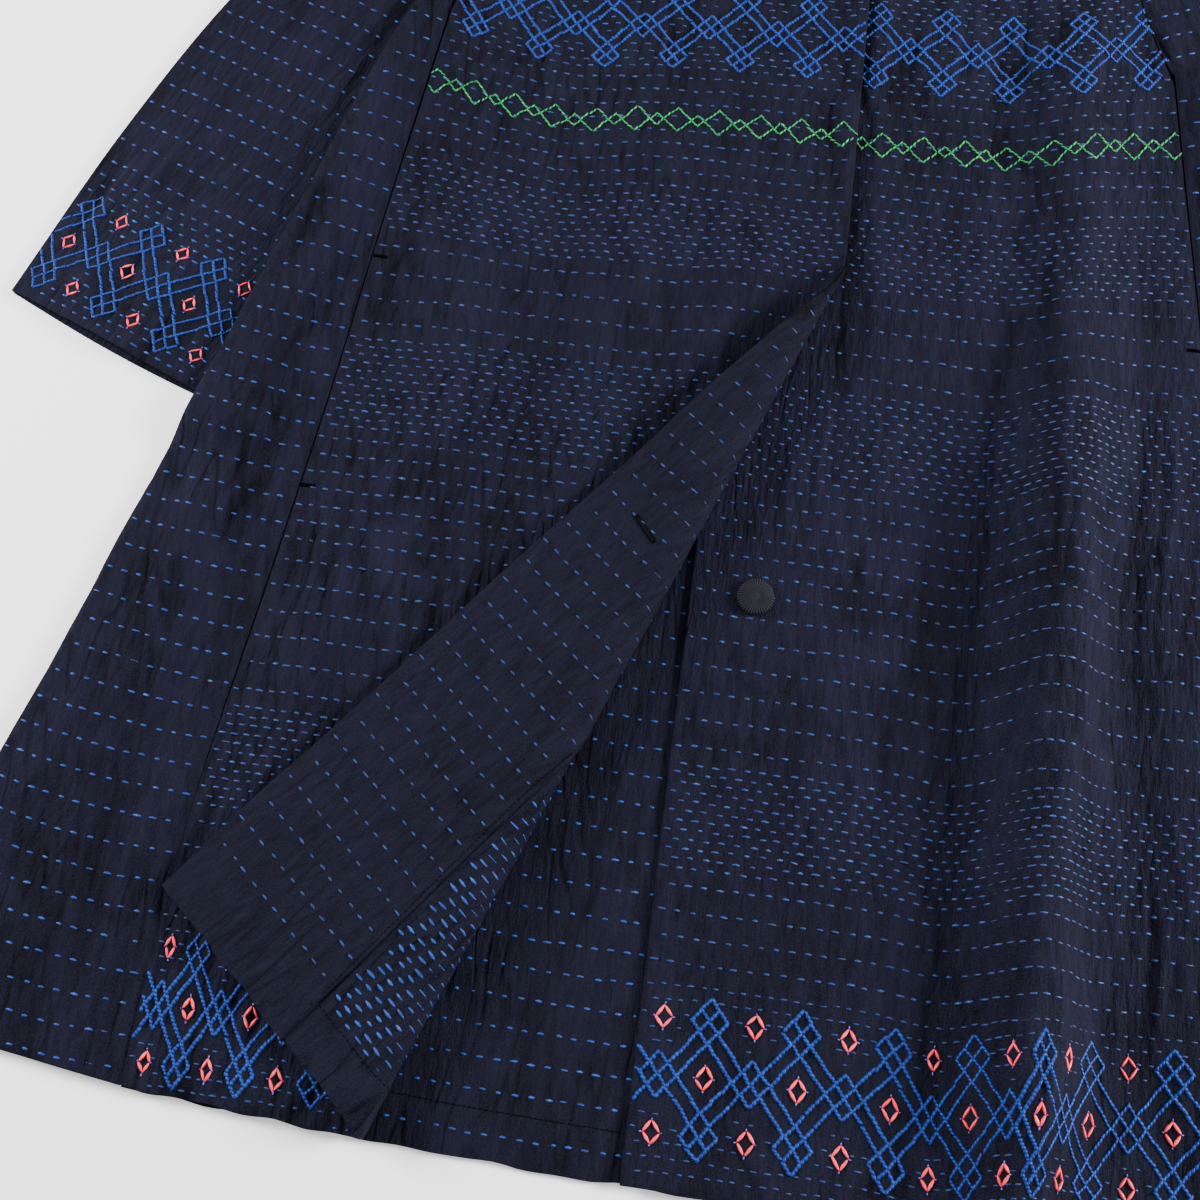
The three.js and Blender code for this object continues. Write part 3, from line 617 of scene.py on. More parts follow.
def sideUpper(sign, x, y):  # goes on from the front at the seam
    seam = seamX(np.minimum(y, coat["underarmY"] + 1))
    front = leftMiddle(seam, y) if sign > 0 else rightMiddle(-seam, y)
    return front + sideRise(x, y) - sideRise(seam, y) + foldHeight("side", x, y) * ease((x - seam) / 20)


def sideLower(x, y):  # on the surface, and over the sleeve where that lies under it
    return wall / 2 + sleeveLift(x, y) * ease((x - seamX(y) - 2) / 12)


def sidePanel(sign):
    # the upper layer, a half round at the side fold and a strip of the lower layer, in one grid
    side = "Left" if sign > 0 else "Right"
    radius = coat["sideFoldRadius"]
    k = shares(sideLook["rows"], 0.0008)
    k = (k * (coat["underarmY"] - coat["seamFoot"]) / seamLength)[:, None]
    # its last rows reach on past the solid, to meet the sleeve at the underarm
    onward = sideLook["onward"] * ease((k * seamLength - 680) / 17.6)
    seamAt = coat["seamFoot"] + seamLength * k + onward
    share = k * seamLength / (coat["underarmY"] - coat["seamFoot"])
    sideAt = mix(34, justBelowUnderarm, share) + onward
    seam, fold = seamX(seamAt) + coat["seamGap"] / 2 - seamMeet, sideX(sideAt) - radius

    def place(j):
        return mix(seam, fold, j), mix(seamAt, sideAt, j)
    topX, topPlaceY = place(shares(sideLook["across"], 0.005)[None, :-3])
    topZ = sideUpper(sign, topX, topPlaceY)
    edgeX, edgeY = place(np.array([[1.0]]))
    high, low = sideUpper(sign, edgeX, edgeY), sideLower(edgeX, edgeY)
    angle = math.pi * np.linspace(0, 1, 11)[None, :]
    turnX = edgeX + radius * np.sin(angle)
    turnZ = (high + low) / 2 + (high - low) / 2 * np.cos(angle)
    turnY = np.broadcast_to(edgeY, turnX.shape)
    belowX, belowY = place(np.linspace(0.9, 0, 8)[None, :])
    belowZ = sideLower(belowX, belowY)
    x = np.concatenate([topX, turnX, belowX], 1)
    y = np.concatenate([topPlaceY, turnY, belowY], 1)
    z = np.concatenate([topZ, turnZ, belowZ], 1)
    girth = np.concatenate([topX, edgeX + 7 * np.linspace(0, 1, 11)[None, :], 2 * edgeX + 7 - belowX], 1)
    upper = np.concatenate([np.ones(topX.shape), np.linspace(1, 0, 11)[None, :] * np.ones(turnX.shape),
                            np.zeros(belowX.shape)], 1)
    fromSeam = girth - seam
    waves = relief(girth, y + 40 * sign) * ease(fromSeam / 8) * upper + seamDip(fromSeam) * upper
    middle = np.stack([sign * x, y, z], -1)
    edge = roundedEdge(y - hemY(x))
    if sign > 0:
        return clothWall("sidePanel" + side, middle, girth, y, wall / 2 * edge + waves, wall / 2 * edge,
                         waves)
    flip = np.s_[:, ::-1]
    return clothWall("sidePanel" + side, middle[flip], -girth[flip], y[flip],
                     (wall / 2 * edge + waves)[flip], (wall / 2 * edge)[flip], waves[flip])


sleeveLook = dict(rows=160, across=92, below=24, bow=1.6, opening=3.4, width=150.0)
# the sleeve's soft creases, in millimetres across and up from the cuff: ends, width, height
sleeveFoldRows = [(60, 330, 95, 120, 10, 1.3), (120, 300, 150, 140, 8, 1.5), (40, 240, 120, 215, 7, 0.8),
                  (20, 150, 45, 40, 9, 0.9), (95, 90, 110, 10, 7, 0.8)]
cuffCorner = np.array([475.0, 462.0])
cuffAlong = np.array([-0.927, -0.375])
cuffUp = np.array([-0.375, 0.927])


def armholeShift(k):  # from the straight line between the two folds to the body's armhole
    t = np.minimum(1, k / 0.91)
    y = mix(924, 716, t)
    past = np.maximum(0, (k - 0.91) / 0.09)
    onLine = readRows(armholeRows, y) + coat["seamGap"] * 1.4
    return mix(onLine, 258.4, past) - mix(204.4, 258.4, k), y - mix(924, 716, k)


def sleevePlace(k, along):  # a point across the sleeve from its outer to its inner fold
    ox, oy = readRows(sleeveOuterRows, along), readRows(sleeveOuterRows, along, 2)
    ix, iy = readRows(sleeveInnerRows, along), readRows(sleeveInnerRows, along, 2)
    hug = 1 - ease(along / mix(0.4, 0.1, k))
    shiftX, shiftY = armholeShift(k)
    return mix(ox, ix, k) + shiftX * hug, mix(oy, iy, k) + shiftY * hug


def sleeveUpper(k, along):  # top of the sleeve's upper layer
    bow = np.sin(math.pi * k)
    opening = mix(0.7, sleeveLook["opening"], ease((along - 0.72) / 0.28))
    body = wall * 2 + 0.5 + (opening + sleeveLook["bow"] * (1 - np.abs(2 * k - 0.8))) * bow
    return np.maximum(body, 2.8)


def cuffPlace(x, y):  # along the cuff from its outer corner, and up the sleeve from the cuff
    dx, dy = np.abs(x) - cuffCorner[0], y - cuffCorner[1]
    return dx * cuffAlong[0] + dy * cuffAlong[1], dx * cuffUp[0] + dy * cuffUp[1]


def sleeveFolds(x, y):  # soft creases from the underarm down the sleeve, and two across the elbow
    w, c = cuffPlace(x, y)
    fold = np.zeros(w.shape)
    for w0, c0, w1, c1, width, tall in sleeveFoldRows:
        dx, dy = w1 - w0, c1 - c0
        t = ((w - w0) * dx + (c - c0) * dy) / (dx * dx + dy * dy)
        across = ((w - w0) * dy - (c - c0) * dx) / math.hypot(dx, dy)
        ends = ease((t + 0.2) / 0.4) * ease((1.2 - t) / 0.4)
        fold = fold + tall * ends * np.exp(-((across / width) ** 2))
    return fold


def sleeveTop(x, y, k, along):  # height of the upper layer's outer face with its crinkles
    w, c = cuffPlace(x, y)
    edge = ease(k / 0.07) * ease((1 - k) / 0.07)
    return sleeveUpper(k, along) + (relief(w, c + 300) * 0.9 + sleeveFolds(x, y)) * edge


def sleeve(sign):
    # rings of points round the tube, one set for its outer face and one for its inner face
    side = "Left" if sign > 0 else "Right"
    along = shares(sleeveLook["rows"], 0.001)[:, None]
    kTop = (1 - np.cos(np.linspace(0, math.pi, sleeveLook["across"]))) / 2
    kTop = mix(kTop, np.linspace(0, 1, sleeveLook["across"]), 0.75)[None, :]
    kLow = np.linspace(1, 0, sleeveLook["below"])[None, :]
    x, y = sleevePlace(kTop, along)
    top = sleeveTop(x, y, kTop, along)
    lowX, lowY = sleevePlace(kLow, along)
    reach = 3.2 * np.sin(math.pi * kLow) * ease((along - 0.96) / 0.04)
    lowX, lowY = lowX - cuffUp[0] * reach, lowY - cuffUp[1] * reach
    inset = wall * 0.9
    squeeze = 1 - 2 * inset / sleeveLook["width"]

    def ringLoop(outside):
        a = np.stack([x, y, top if outside else np.maximum(top - inset, inset + 0.3)], -1)
        b = np.stack([lowX, lowY, np.full(lowX.shape, 0.0 if outside else inset)], -1)
        loop = np.concatenate([a, b], 1)
        if not outside:
            centre = loop.mean(1, keepdims=True)
            loop[..., 0:2] = centre[..., 0:2] + (loop[..., 0:2] - centre[..., 0:2]) * squeeze
            loop[..., 1] = np.concatenate([y, lowY], 1)
        return loop
    outer, inner = ringLoop(True), ringLoop(False)
    rows, columns = outer.shape[:2]
    size = rows * columns
    points = np.concatenate([outer.reshape(-1, 3), inner.reshape(-1, 3)])
    points[:, 0] *= sign
    outside = gridFaces(rows, columns, True)
    inside = outside[:, ::-1] + size
    j = np.arange(columns)
    n = (j + 1) % columns
    end = (rows - 1) * columns
    first = np.stack([j, size + j, size + n, n], -1)
    last = np.stack([end + j, end + n, size + end + n, size + end + j], -1)
    faces = np.concatenate([outside, inside, first, last])
    if sign > 0:
        faces = faces[:, ::-1]
    w, c = cuffPlace(np.concatenate([x, lowX], 1), np.concatenate([y, lowY], 1))
    flat = np.stack([w.ravel(), c.ravel()], -1)
    # painted shade of the sleeve's relief in its colour
    pale = np.tile(paleness(relief(w, c + 300)).ravel(), 2)
    return makeMesh("sleeve" + side, points, faces, np.concatenate([flat, flat]), pale)


def neckFacing():  # a strip that follows the back neck's curve
    j, k = np.linspace(-1, 1, 61)[None, :], np.linspace(0, 1, 26)[:, None]
    x = j * (coat["neckHalf"] - 3) * np.ones(k.shape)
    top = topY(x, coat["backNeckDrop"]) - 2
    y = mix(top - 72, top, k)
    z = np.full(x.shape, wall + coat["seamGap"] + 0.5)
    return clothWall("backNeckFacing", np.stack([x, y, z], -1), x, y, 0.5 + 0.15 * relief(x, y), 0.5)


buttonLook = dict(x=2.0, y=323.0, diameter=21.6, rim=2.2, dome=3.0, ribs=40, ribDepth=0.2, sides=230)


def coveredButton():
    # A profile turned round the button's axis, from its shank round the rim and over the dome, with
    # ribs of cosine section that run out from a small knot at the middle
    r = buttonLook["diameter"] / 2
    a = np.linspace(0, math.pi / 2, 22)
    radius = np.concatenate([[0.01, 2.6, 2.6, r * 0.8, r * 0.93, r * 0.99], r * np.cos(a) ** 0.85])
    dome = buttonLook["rim"] + buttonLook["dome"] * np.sin(a) ** 1.15
    height = np.concatenate([[0, 0, 1.1, 1.1, 1.35, 1.8], dome])
    radius[-1] = 0.01
    turn = np.linspace(0, 2 * math.pi, buttonLook["sides"], endpoint=False)[None, :]
    wave = np.cos(turn * buttonLook["ribs"])
    across = radius[:, None]
    rib = buttonLook["ribDepth"] * wave * ease((across - 1.2) / 3) * (height[:, None] > 1.5)
    knot = 0.5 * np.exp(-((across / 0.9) ** 2)) - 0.45 * np.exp(-(((across - 1.7) / 0.7) ** 2))
    base = float(leftMiddle(buttonLook["x"], buttonLook["y"])) + wall / 2 + coat["seamGap"]
    out = across + rib * 0.6 * (across > 8)
    x, y = buttonLook["x"] + out * np.cos(turn), buttonLook["y"] + out * np.sin(turn)
    z = base + height[:, None] + rib + knot * (height[:, None] > 2.5)
    uv = np.stack([x.ravel(), y.ravel()], -1)
    points = np.stack([x, y, z], -1).reshape(-1, 3)
    # painted shade: the tone is lower in the grooves between the ribs, and falls a little towards the rim
    tone = (0.55 + 0.45 * wave) * np.clip(1.15 - 0.25 * across / r, 0, 1)
    faces = gridFaces(len(radius), buttonLook["sides"], True)
    return makeMesh("coveredButton", points, faces, uv, tone.ravel())


back = dress(backPanel(), insideCotton, "cotton_inside", "back")
frontLeft = dress(leftFront(), shellCotton, "quilted_cotton", "front_left")
frontRight, frontFacing = rightFront()
dress(frontRight, shellCotton, "quilted_cotton", "front_right")
dress(frontFacing, insideCotton, "cotton_inside", "facing_right")
sideLeft = dress(sidePanel(1), shellCotton, "quilted_cotton", "side_left")
sideRight = dress(sidePanel(-1), shellCotton, "quilted_cotton", "side_right")
sleeveLeft = dress(sleeve(1), shellCotton, "quilted_cotton", "sleeve_left")
sleeveRight = dress(sleeve(-1), shellCotton, "quilted_cotton", "sleeve_right")
neck = dress(neckFacing(), insideCotton, "cotton_inside", "back_neck_facing")
button = dress(coveredButton(), buttonSilk, "covered_button", "button")
print("panels made")

# one stitch as a short closed ridge: three rings between its tips, each with its share of the
# stitch's length, its half width and its height
stitchShape = np.array([(-0.32, 0.68, 0.75), (0.0, 1.0, 1.0), (0.32, 0.68, 0.75)])
stitchTone = np.array([0.75] * 3 + [1.15] * 3 + [0.75] * 3 + [0.4] * 2)  # painted light and shade: the middle palest, the ends darker and the tips, where the stitch dips into the cloth, darkest


def stitchMesh(name, starts, ends, ups, width, height, shade):
    # each stitch lies between a start and an end point on the cloth; ups: the cloth's outward direction
    count = len(starts)
    along = ends - starts
    centre = (starts + ends) / 2
    sideways = np.cross(ups, along)
    sideways /= np.maximum(np.linalg.norm(sideways, axis=1, keepdims=True), 1e-9)
    ringA, ringW, ringH = stitchShape.T
    body = []
    for lateral, lift in ((-1, -0.25), (0, 1), (1, -0.25)):
        p = (centre[:, None] + along[:, None] * ringA[None, :, None]
             + sideways[:, None] * (lateral * width / 2 * ringW)[None, :, None]
             + ups[:, None] * (height * (ringH if lift > 0 else np.full(3, lift)))[None, :, None])
        body.append(p)
    tips = np.stack([starts - ups * height * 0.3, ends - ups * height * 0.3], 1)
    points = np.concatenate([np.stack(body, 2).reshape(count, 9, 3), tips], 1)
    faces = []
    for ring in (0, 1):
        for edge in range(3):
            a, b = ring * 3 + edge, ring * 3 + (edge + 1) % 3
            faces += [(a, a + 3, b + 3), (a, b + 3, b)]
    for edge in range(3):
        faces += [(9, edge, (edge + 1) % 3), (10, 6 + (edge + 1) % 3, 6 + edge)]
    one = np.array(faces)[:, ::-1]
    allFaces = (one[None] + (np.arange(count) * 11)[:, None, None]).reshape(-1, 3)
    tones = np.asarray(shade)[:, None] * stitchTone
    return makeMesh(name, points.reshape(-1, 3), allFaces, None, tones.ravel())


def surfaceAt(place, u, v, step=0.6):
    # place(u, v) gives points on the cloth; the outward direction comes from points a step away
    p = place(u, v)
    du, dv = place(u + step, v) - place(u - step, v), place(u, v + step) - place(u, v - step)
    n = np.cross(du, dv)
    n /= np.maximum(np.linalg.norm(n, axis=-1, keepdims=True), 1e-9)
    return p, n


def leftPlace(x, y):
    return np.stack([x, y, leftMiddle(x, y) + wall / 2 + leftRelief(x, y)], -1)


def rightPlace(s, t):
    p, n = surfaceAt(turnedMiddle, s, t, 0.5)
    return p + n * (wall / 2 + rightRelief(s, t) * (1 - ease(pastTurn(s, t) / 8)))[..., None]


def rightWrongPlace(s, t):  # the wrong side of the turned corner, over the facing where there is one
    p, n = surfaceAt(turnedMiddle, s, t, 0.5)
    onFacing = ((freeEdge(t) - s) < coat["facingWidth"]) * (coat["seamGap"] + coat["facingThickness"])
    return p - n * (wall / 2 + hemExtra(s, t) + onFacing - rightRelief(s, t))[..., None]


def sidePlace(sign):
    def place(x, y):  # x grows away from the seam
        seam = seamX(np.minimum(y, coat["underarmY"]))
        fold = sideX(np.minimum(y, justBelowUnderarm)) - coat["sideFoldRadius"]
        z = sideUpper(sign, np.minimum(x, fold), y)
        low = sideLower(np.minimum(x, fold), y)
        over = np.clip((x - fold) / coat["sideFoldRadius"], 0, 1)
        z = (z + low) / 2 + (z - low) / 2 * np.sqrt(1 - over**2)
        waves = relief(x, y + 40 * sign) * ease((x - seam) / 8) + seamDip(x - seam)
        return np.stack([sign * x, y, z + (wall / 2 + waves * (1 - over))], -1)
    return place


def backPlace(x, y):
    return np.stack([x, y, wall + backLift(x, y)], -1)


# for the sleeve, the shares across and along are looked up from a fine grid of its points
gridAcross, gridAlong = np.meshgrid(np.linspace(0, 1, 181), np.linspace(0, 1, 361))
gridX, gridY = sleevePlace(gridAcross, gridAlong)


def sleevePlan(sign):
    def place(w, c):
        x = cuffCorner[0] + cuffAlong[0] * w + cuffUp[0] * c
        y = cuffCorner[1] + cuffAlong[1] * w + cuffUp[1] * c
        k, along = sleeveShares(x, y)
        return np.stack([sign * x, y, sleeveTop(x, y, k, along)], -1)
    return place


def sleeveShares(x, y):
    flatX, flatY = gridX.ravel(), gridY.ravel()
    xs, ys = np.atleast_1d(x).ravel(), np.atleast_1d(y).ravel()
    nearest = np.empty(len(xs), int)
    for first in range(0, len(xs), 400):
        part = slice(first, first + 400)
        away = (xs[part, None] - flatX[None]) ** 2 + (ys[part, None] - flatY[None]) ** 2
        nearest[part] = away.argmin(1)
    shape = np.shape(x)
    return gridAcross.ravel()[nearest].reshape(shape), gridAlong.ravel()[nearest].reshape(shape)


worked = {}  # the stitching on each cloth
stitchLook = dict(length=4.3, pitch=8.8, width=2.1, height=0.7)
facingLook = dict(length=4.2, pitch=8.8, width=1.8, height=0.65, palest=0.8)
groundLook = dict(length=3.9, pitch=7.2, width=1.7, height=0.6, palest=0.7)
turnedLook = dict(length=6.3, pitch=8.4, width=2.5, height=0.9)
# bands down the fronts: from y, to y, distance between rows
frontBands = [(955, 760, 16.5), (760, 676, 5.6), (676, 582, 10.7), (582, 529, 5.3), (529, 461, 15.5),
              (461, 396, 5.3), (396, 319, 10.7), (319, 223, 17.2), (223, 162, 5.3), (162, 108, 12.0)]
turnedBands = [(520, 461, 15.5), (461, 396, 5.3), (396, 319, 10.7), (319, 223, 17.2), (223, 162, 5.3),
               (162, 29, 5.1)]
groundBand = (106, 5, 7.4)  # behind the hem embroidery


def bandRows(bands):
    rows = []
    for high, low, pitch in bands:
        count = max(1, int(round((high - low) / pitch)))
        rows += list(high - (np.arange(count) + 0.5) * (high - low) / count)
    return rows


def rowShift(x, y):  # how far the quilting rows drift along the coat from straight lines
    side = np.interp(y, [0, 280, 470, 640, 760], [5, 7, 14, 23, 26])
    crest = np.exp(-(((x - 166) / 24) ** 2)) * ease((520 - y) / 180)
    hollow = np.exp(-(((x - 118) / 24) ** 2)) * ease((560 - y) / 200)
    left = side * ease((x - 150) / 90) + 6.5 * crest - 3.5 * hollow
    right = (-7 * np.exp(-(((x + 150) / 38) ** 2)) + 9 * ease((-x - 190) / 45)) * ease((y - 480) / 120)
    return np.where(x > 0, left, right) + 1.1 * softNoise(x, y, 60, 45, 21)


# the large fold takes up cloth, and so do the gathers at the right front's seam, so the embroidery is
# narrower there on the outside. Rows: x on the coat, and how far the cloth runs ahead of it
takenUp = {"left": [(60, 0), (99, 0.8), (138, 12), (168, 32), (199, 51), (245, 55), (320, 57)],
           "right": [(-320, -54), (-300, -43), (-274, -29), (-240, -13), (-200, -3), (-175, 0), (40, 0)]}
takenFrom = dict(y=600.0, full=180.0)


def takenShare(y):
    return ease((takenFrom["y"] - y) / (takenFrom["y"] - takenFrom["full"]))


planX = np.linspace(-330, 330, 1321)
clothX = {side: planX + readRows(rows, planX) for side, rows in takenUp.items()}


def clothToPlan(side, u, v):
    return mix(u, np.interp(u, clothX[side], planX), takenShare(v))


def arcTable(side, height, x0, x1, y):  # x, and the distance walked over the cloth to reach it
    x = np.linspace(x0, x1, 700)
    z = height(x, np.full(700, y))
    extra = np.diff(np.interp(x, planX, clothX[side]) - x) * takenShare(y) * 0.5 if side else 0
    walked = np.concatenate([[0], np.cumsum(np.hypot(np.diff(x), np.diff(z)) + extra)])
    return walked, x


def rowStitches(rows, spanAt, arc, seed, look=stitchLook, drift=rowShift, side=None):
    # middles of running stitches: rows of even pitch, each row set off from the last one
    random = np.random.default_rng(seed)
    us, vs = [], []
    for index, y in enumerate(rows):
        x0, x1 = spanAt(y)
        if x1 - x0 < look["pitch"]:
            continue
        walked, xs = arcTable(side, arc, x0, x1, y)
        offset = look["pitch"] * ((index % 2) * 0.5 + 0.3 + random.uniform(-0.12, 0.12))
        at = np.arange(offset, walked[-1] - 2, look["pitch"])
        at = at + random.normal(0, look["pitch"] * 0.055, len(at))
        x = np.interp(at, walked, xs)
        us.append(x)
        vs.append(y + drift(x, np.full(len(x), y)) + random.normal(0, 0.28, len(x)))
    return np.concatenate(us), np.concatenate(vs)


def laidStitches(name, surface, u, v, seed, material, look=stitchLook, tilt=None, flip=1):
    cloth, place = surface
    random = np.random.default_rng(seed)
    size = len(u)
    length = look["length"] * np.clip(random.normal(1, 0.15, size), 0.6, 1.5)
    angle = random.normal(0, 0.05, size) + (0 if tilt is None else tilt)
    dx, dy = np.cos(angle) * length / 2, np.sin(angle) * length / 2
    centre, n = surfaceAt(place, u, v)
    n = n * flip
    a, b = place(u - dx, v - dy), place(u + dx, v + dy)
    shade = random.uniform(0.2, look.get("palest", 1.0), size)
    piece = stitchMesh(name, a, b, n, look["width"], look["height"], shade)
    worked.setdefault(cloth.name, []).append(dress(piece, material, "quilted_cotton"))


def slopeOf(drift, u, v):
    return np.arctan((drift(u + 2, v) - drift(u - 2, v)) / 4)


# Geometric embroidery, charted on slanted axes: a runs down to the right, b down to the left.
# Each motif has squares of two by two cells standing on their corners, and double lines between them
latticeSquares = [(0, 0), (5, 0), (5, 5)]
latticeBands = [(2, 1, 5, 1), (2, 2, 5, 2), (1, 2, 1, 5), (2, 2, 2, 5), (5, 2, 5, 5), (6, 2, 6, 5),
                (2, 5, 5, 5), (2, 6, 5, 6)]


def latticeLines():
    lines = list(latticeBands)
    for a, b in latticeSquares:
        for k in range(3):
            lines += [(a + k, b, a + k, b + 2), (a, b + k, a + 2, b + k)]
    stitches = []
    for a0, b0, a1, b1 in lines:
        steps = max(abs(a1 - a0), abs(b1 - b0))
        for k in range(steps):
            first, last = k / steps, (k + 1) / steps
            stitches.append((mix(a0, a1, first), mix(b0, b1, first), mix(a0, a1, last), mix(b0, b1, last)))
    return np.array(stitches)


def latticeStitches(tops, cell, topY0):
    # ends of each stitch for a row of motifs whose top squares are centred at the given places
    chart = latticeLines()
    u0 = (chart[:, 0] - chart[:, 1]) * cell[0]
    v0 = -(chart[:, 0] + chart[:, 1] - 2) * cell[1]
    u1 = (chart[:, 2] - chart[:, 3]) * cell[0]
    v1 = -(chart[:, 2] + chart[:, 3] - 2) * cell[1]
    tops = np.asarray(tops)[:, None]
    grids = np.broadcast_arrays(tops + u0, topY0 + v0, tops + u1, topY0 + v1)
    return tuple(grid.ravel() for grid in grids)


def diamondStitches(centres, halfWidth, halfHeight):
    cx, cy = np.array(centres, float).T
    corners = np.array([(0, 1), (1, 0), (0, -1), (-1, 0)]) * np.array([halfWidth, halfHeight])
    nextOnes = np.roll(corners, -1, axis=0)
    u0, v0 = cx[:, None] + corners[:, 0], cy[:, None] + corners[:, 1]
    u1, v1 = cx[:, None] + nextOnes[:, 0], cy[:, None] + nextOnes[:, 1]
    return u0.ravel(), v0.ravel(), u1.ravel(), v1.ravel()


def tipStitches(centres, halfWidth, halfHeight, reach=1.5):
    cx, cy = np.array(centres, float).T
    corners = np.array([(0, 1), (1, 0), (0, -1), (-1, 0)], float)
    size = np.array([halfWidth, halfHeight])
    u0, v0 = cx[:, None] + corners[:, 0] * size[0], cy[:, None] + corners[:, 1] * size[1]
    u1, v1 = u0 + corners[:, 0] * reach, v0 + corners[:, 1] * reach
    return u0.ravel(), v0.ravel(), u1.ravel(), v1.ravel()


def twisted(ends, parts, lean):
    # each line as a rope of short stitches that cross it from one side to the other
    u0, v0, u1, v1 = (np.asarray(e, float)[:, None] for e in ends)
    long = np.maximum(np.hypot(u1 - u0, v1 - v0), 1e-6)
    sideU, sideV = -(v1 - v0) / long * lean, (u1 - u0) / long * lean
    a, b = np.arange(parts) / parts, (np.arange(parts) + 1) / parts
    return ((mix(u0, u1, a) - sideU).ravel(), (mix(v0, v1, a) - sideV).ravel(),
            (mix(u0, u1, b) + sideU).ravel(), (mix(v0, v1, b) + sideV).ravel())


def lineStitches(name, surface, ends, material, width, height, seed, warp=None, lift=0.25, slack=0.3,
                 keep=None, over=0.07, parts=1, lean=0.35):
    # straight stitches between given ends, a little uneven, laid on the cloth; over is the share by
    # which each one runs past its ends
    cloth, place = surface
    random = np.random.default_rng(seed)
    ends = [np.array(e, float) + random.normal(0, slack, len(e)) for e in ends]
    u0, v0, u1, v1 = twisted(ends, parts, lean) if parts > 1 else ends
    moreU, moreV = (u1 - u0) * over, (v1 - v0) * over
    u0, v0, u1, v1 = u0 - moreU, v0 - moreV, u1 + moreU, v1 + moreV
    if warp is not None:
        (u0, v0), (u1, v1) = warp(u0, v0), warp(u1, v1)
    if keep is not None:
        chosen = keep((u0 + u1) / 2, (v0 + v1) / 2)
        u0, v0, u1, v1 = u0[chosen], v0[chosen], u1[chosen], v1[chosen]
    centre, n = surfaceAt(place, (u0 + u1) / 2, (v0 + v1) / 2)
    lay = lift * random.uniform(0.6, 1.5, (len(u0), 1))
    a, b = place(u0, v0) + n * lay, place(u1, v1) + n * lay
    piece = stitchMesh(name, a, b, n, width, height, random.uniform(0.2, 1, len(a)))
    worked.setdefault(cloth.name, []).append(dress(piece, material, "quilted_cotton"))


hemLattice = dict(cell=(5.0, 5.8), period=50.0, top=86.0, middle=57.0, foot=28.0)
hemPhase = {"left": 0.0, "right": -3.0}
chestLattice = dict(cell=(4.4, 4.8), period=44.0, top=735.0, middle=711.0, foot=687.0)
cuffLattice = dict(cell=(4.6, 5.3), period=45.8, top=71.5, middle=45.0, foot=18.5)
pinkLook = dict(halfWidth=4.5, halfHeight=6.0, width=2.0, height=0.95)


def motifCentres(first, last, look, phase=0.0):
    n = np.arange(math.floor((first - phase) / look["period"]), math.ceil((last - phase) / look["period"]) + 1)
    return phase + n * look["period"]


def pinkCentres(tops, look):
    between = tops + look["period"] / 2
    places = (("middle", tops), ("top", between), ("foot", between))
    return [(x, look[row]) for row, xs in places for x in xs]


def clearOf(look, tops, pink, u, v):
    # ground stitches that stay: outside the zigzag of double lines, off the two by two squares and,
    # where there are pink diamonds, off those and out of the large diamonds
    half, tall = look["period"] / 2, (look["top"] - look["foot"]) / 2
    near = np.abs(((u - tops[0]) / look["period"] + 0.5) % 1 - 0.5) * look["period"]
    other = half - near
    away = np.abs(v - look["middle"])
    reach = near / half + away / tall
    band = np.abs(reach - 1) * half * 0.75 < look["cell"][0] * 1.35
    squares = ((near / look["cell"][0] + np.abs(away - tall) / look["cell"][1] < 2.5)
               | (other / look["cell"][0] + away / look["cell"][1] < 2.5))
    busy = band | squares
    if pink:
        spot = other / (pinkLook["halfWidth"] + 2.6) + np.abs(away - tall) / (pinkLook["halfHeight"] + 2.2) < 1
        busy = busy | (reach < 1) | spot
    return ~busy | (away > tall + 2.6 * look["cell"][1])


print("stitch tools ready")


def latticeWarp(side):  # from the embroidery's flat chart to the coat as it lies
    def warp(u, v):
        x = clothToPlan(side, u, v)
        return x, v + rowShift(x, v)
    return warp


def frontStitches(side):
    surface = (frontLeft, leftPlace) if side == "left" else (frontRight, rightPlace)
    arc = leftMiddle if side == "left" else rightMiddle
    if side == "left":
        def spanAt(y):
            return -coat["overlap"] + 1.5, float(frontSeamX(y)) - 2
    else:
        def spanAt(y):
            last = float(freeEdge(y)) - 1.5
            return -float(frontSeamX(y)) + 2, min(last, turnLineX(y) + 6)
    title = side.capitalize()

    def inPanel(u, v):
        seamSide = frontSeamX(v) - np.abs(u)
        return (seamSide > 3) & (v < topY(u, coat["frontNeckDrop"]) - 3) & (v > hemY(u) + 3)
    u, v = rowStitches(bandRows(frontBands), spanAt, arc, 31 if side == "left" else 32, side=side)
    rawV = v - rowShift(u, v)
    tops = motifCentres(-330, 330, chestLattice)
    keep = ~((rawV > 678) & (rawV < 745)) | clearOf(chestLattice, tops, False, u, rawV)
    keep &= inPanel(u, v)
    u, v = u[keep], v[keep]
    laidStitches("runningStitchFront" + title, surface, u, v, 41, quiltThread,
                 tilt=slopeOf(rowShift, u, v))
    u, v = rowStitches(bandRows([groundBand]), spanAt, arc, 38, groundLook, side=side)
    rawV = v - rowShift(u, v)
    cloth = np.interp(u, planX, clothX[side])
    tops = motifCentres(-400, 400, hemLattice, hemPhase[side])
    keep = clearOf(hemLattice, tops, True, cloth, rawV) & inPanel(u, v)
    u, v = u[keep], v[keep]
    laidStitches("groundStitchFront" + title, surface, u, v, 42, quiltThread, groundLook,
                 tilt=slopeOf(rowShift, u, v))


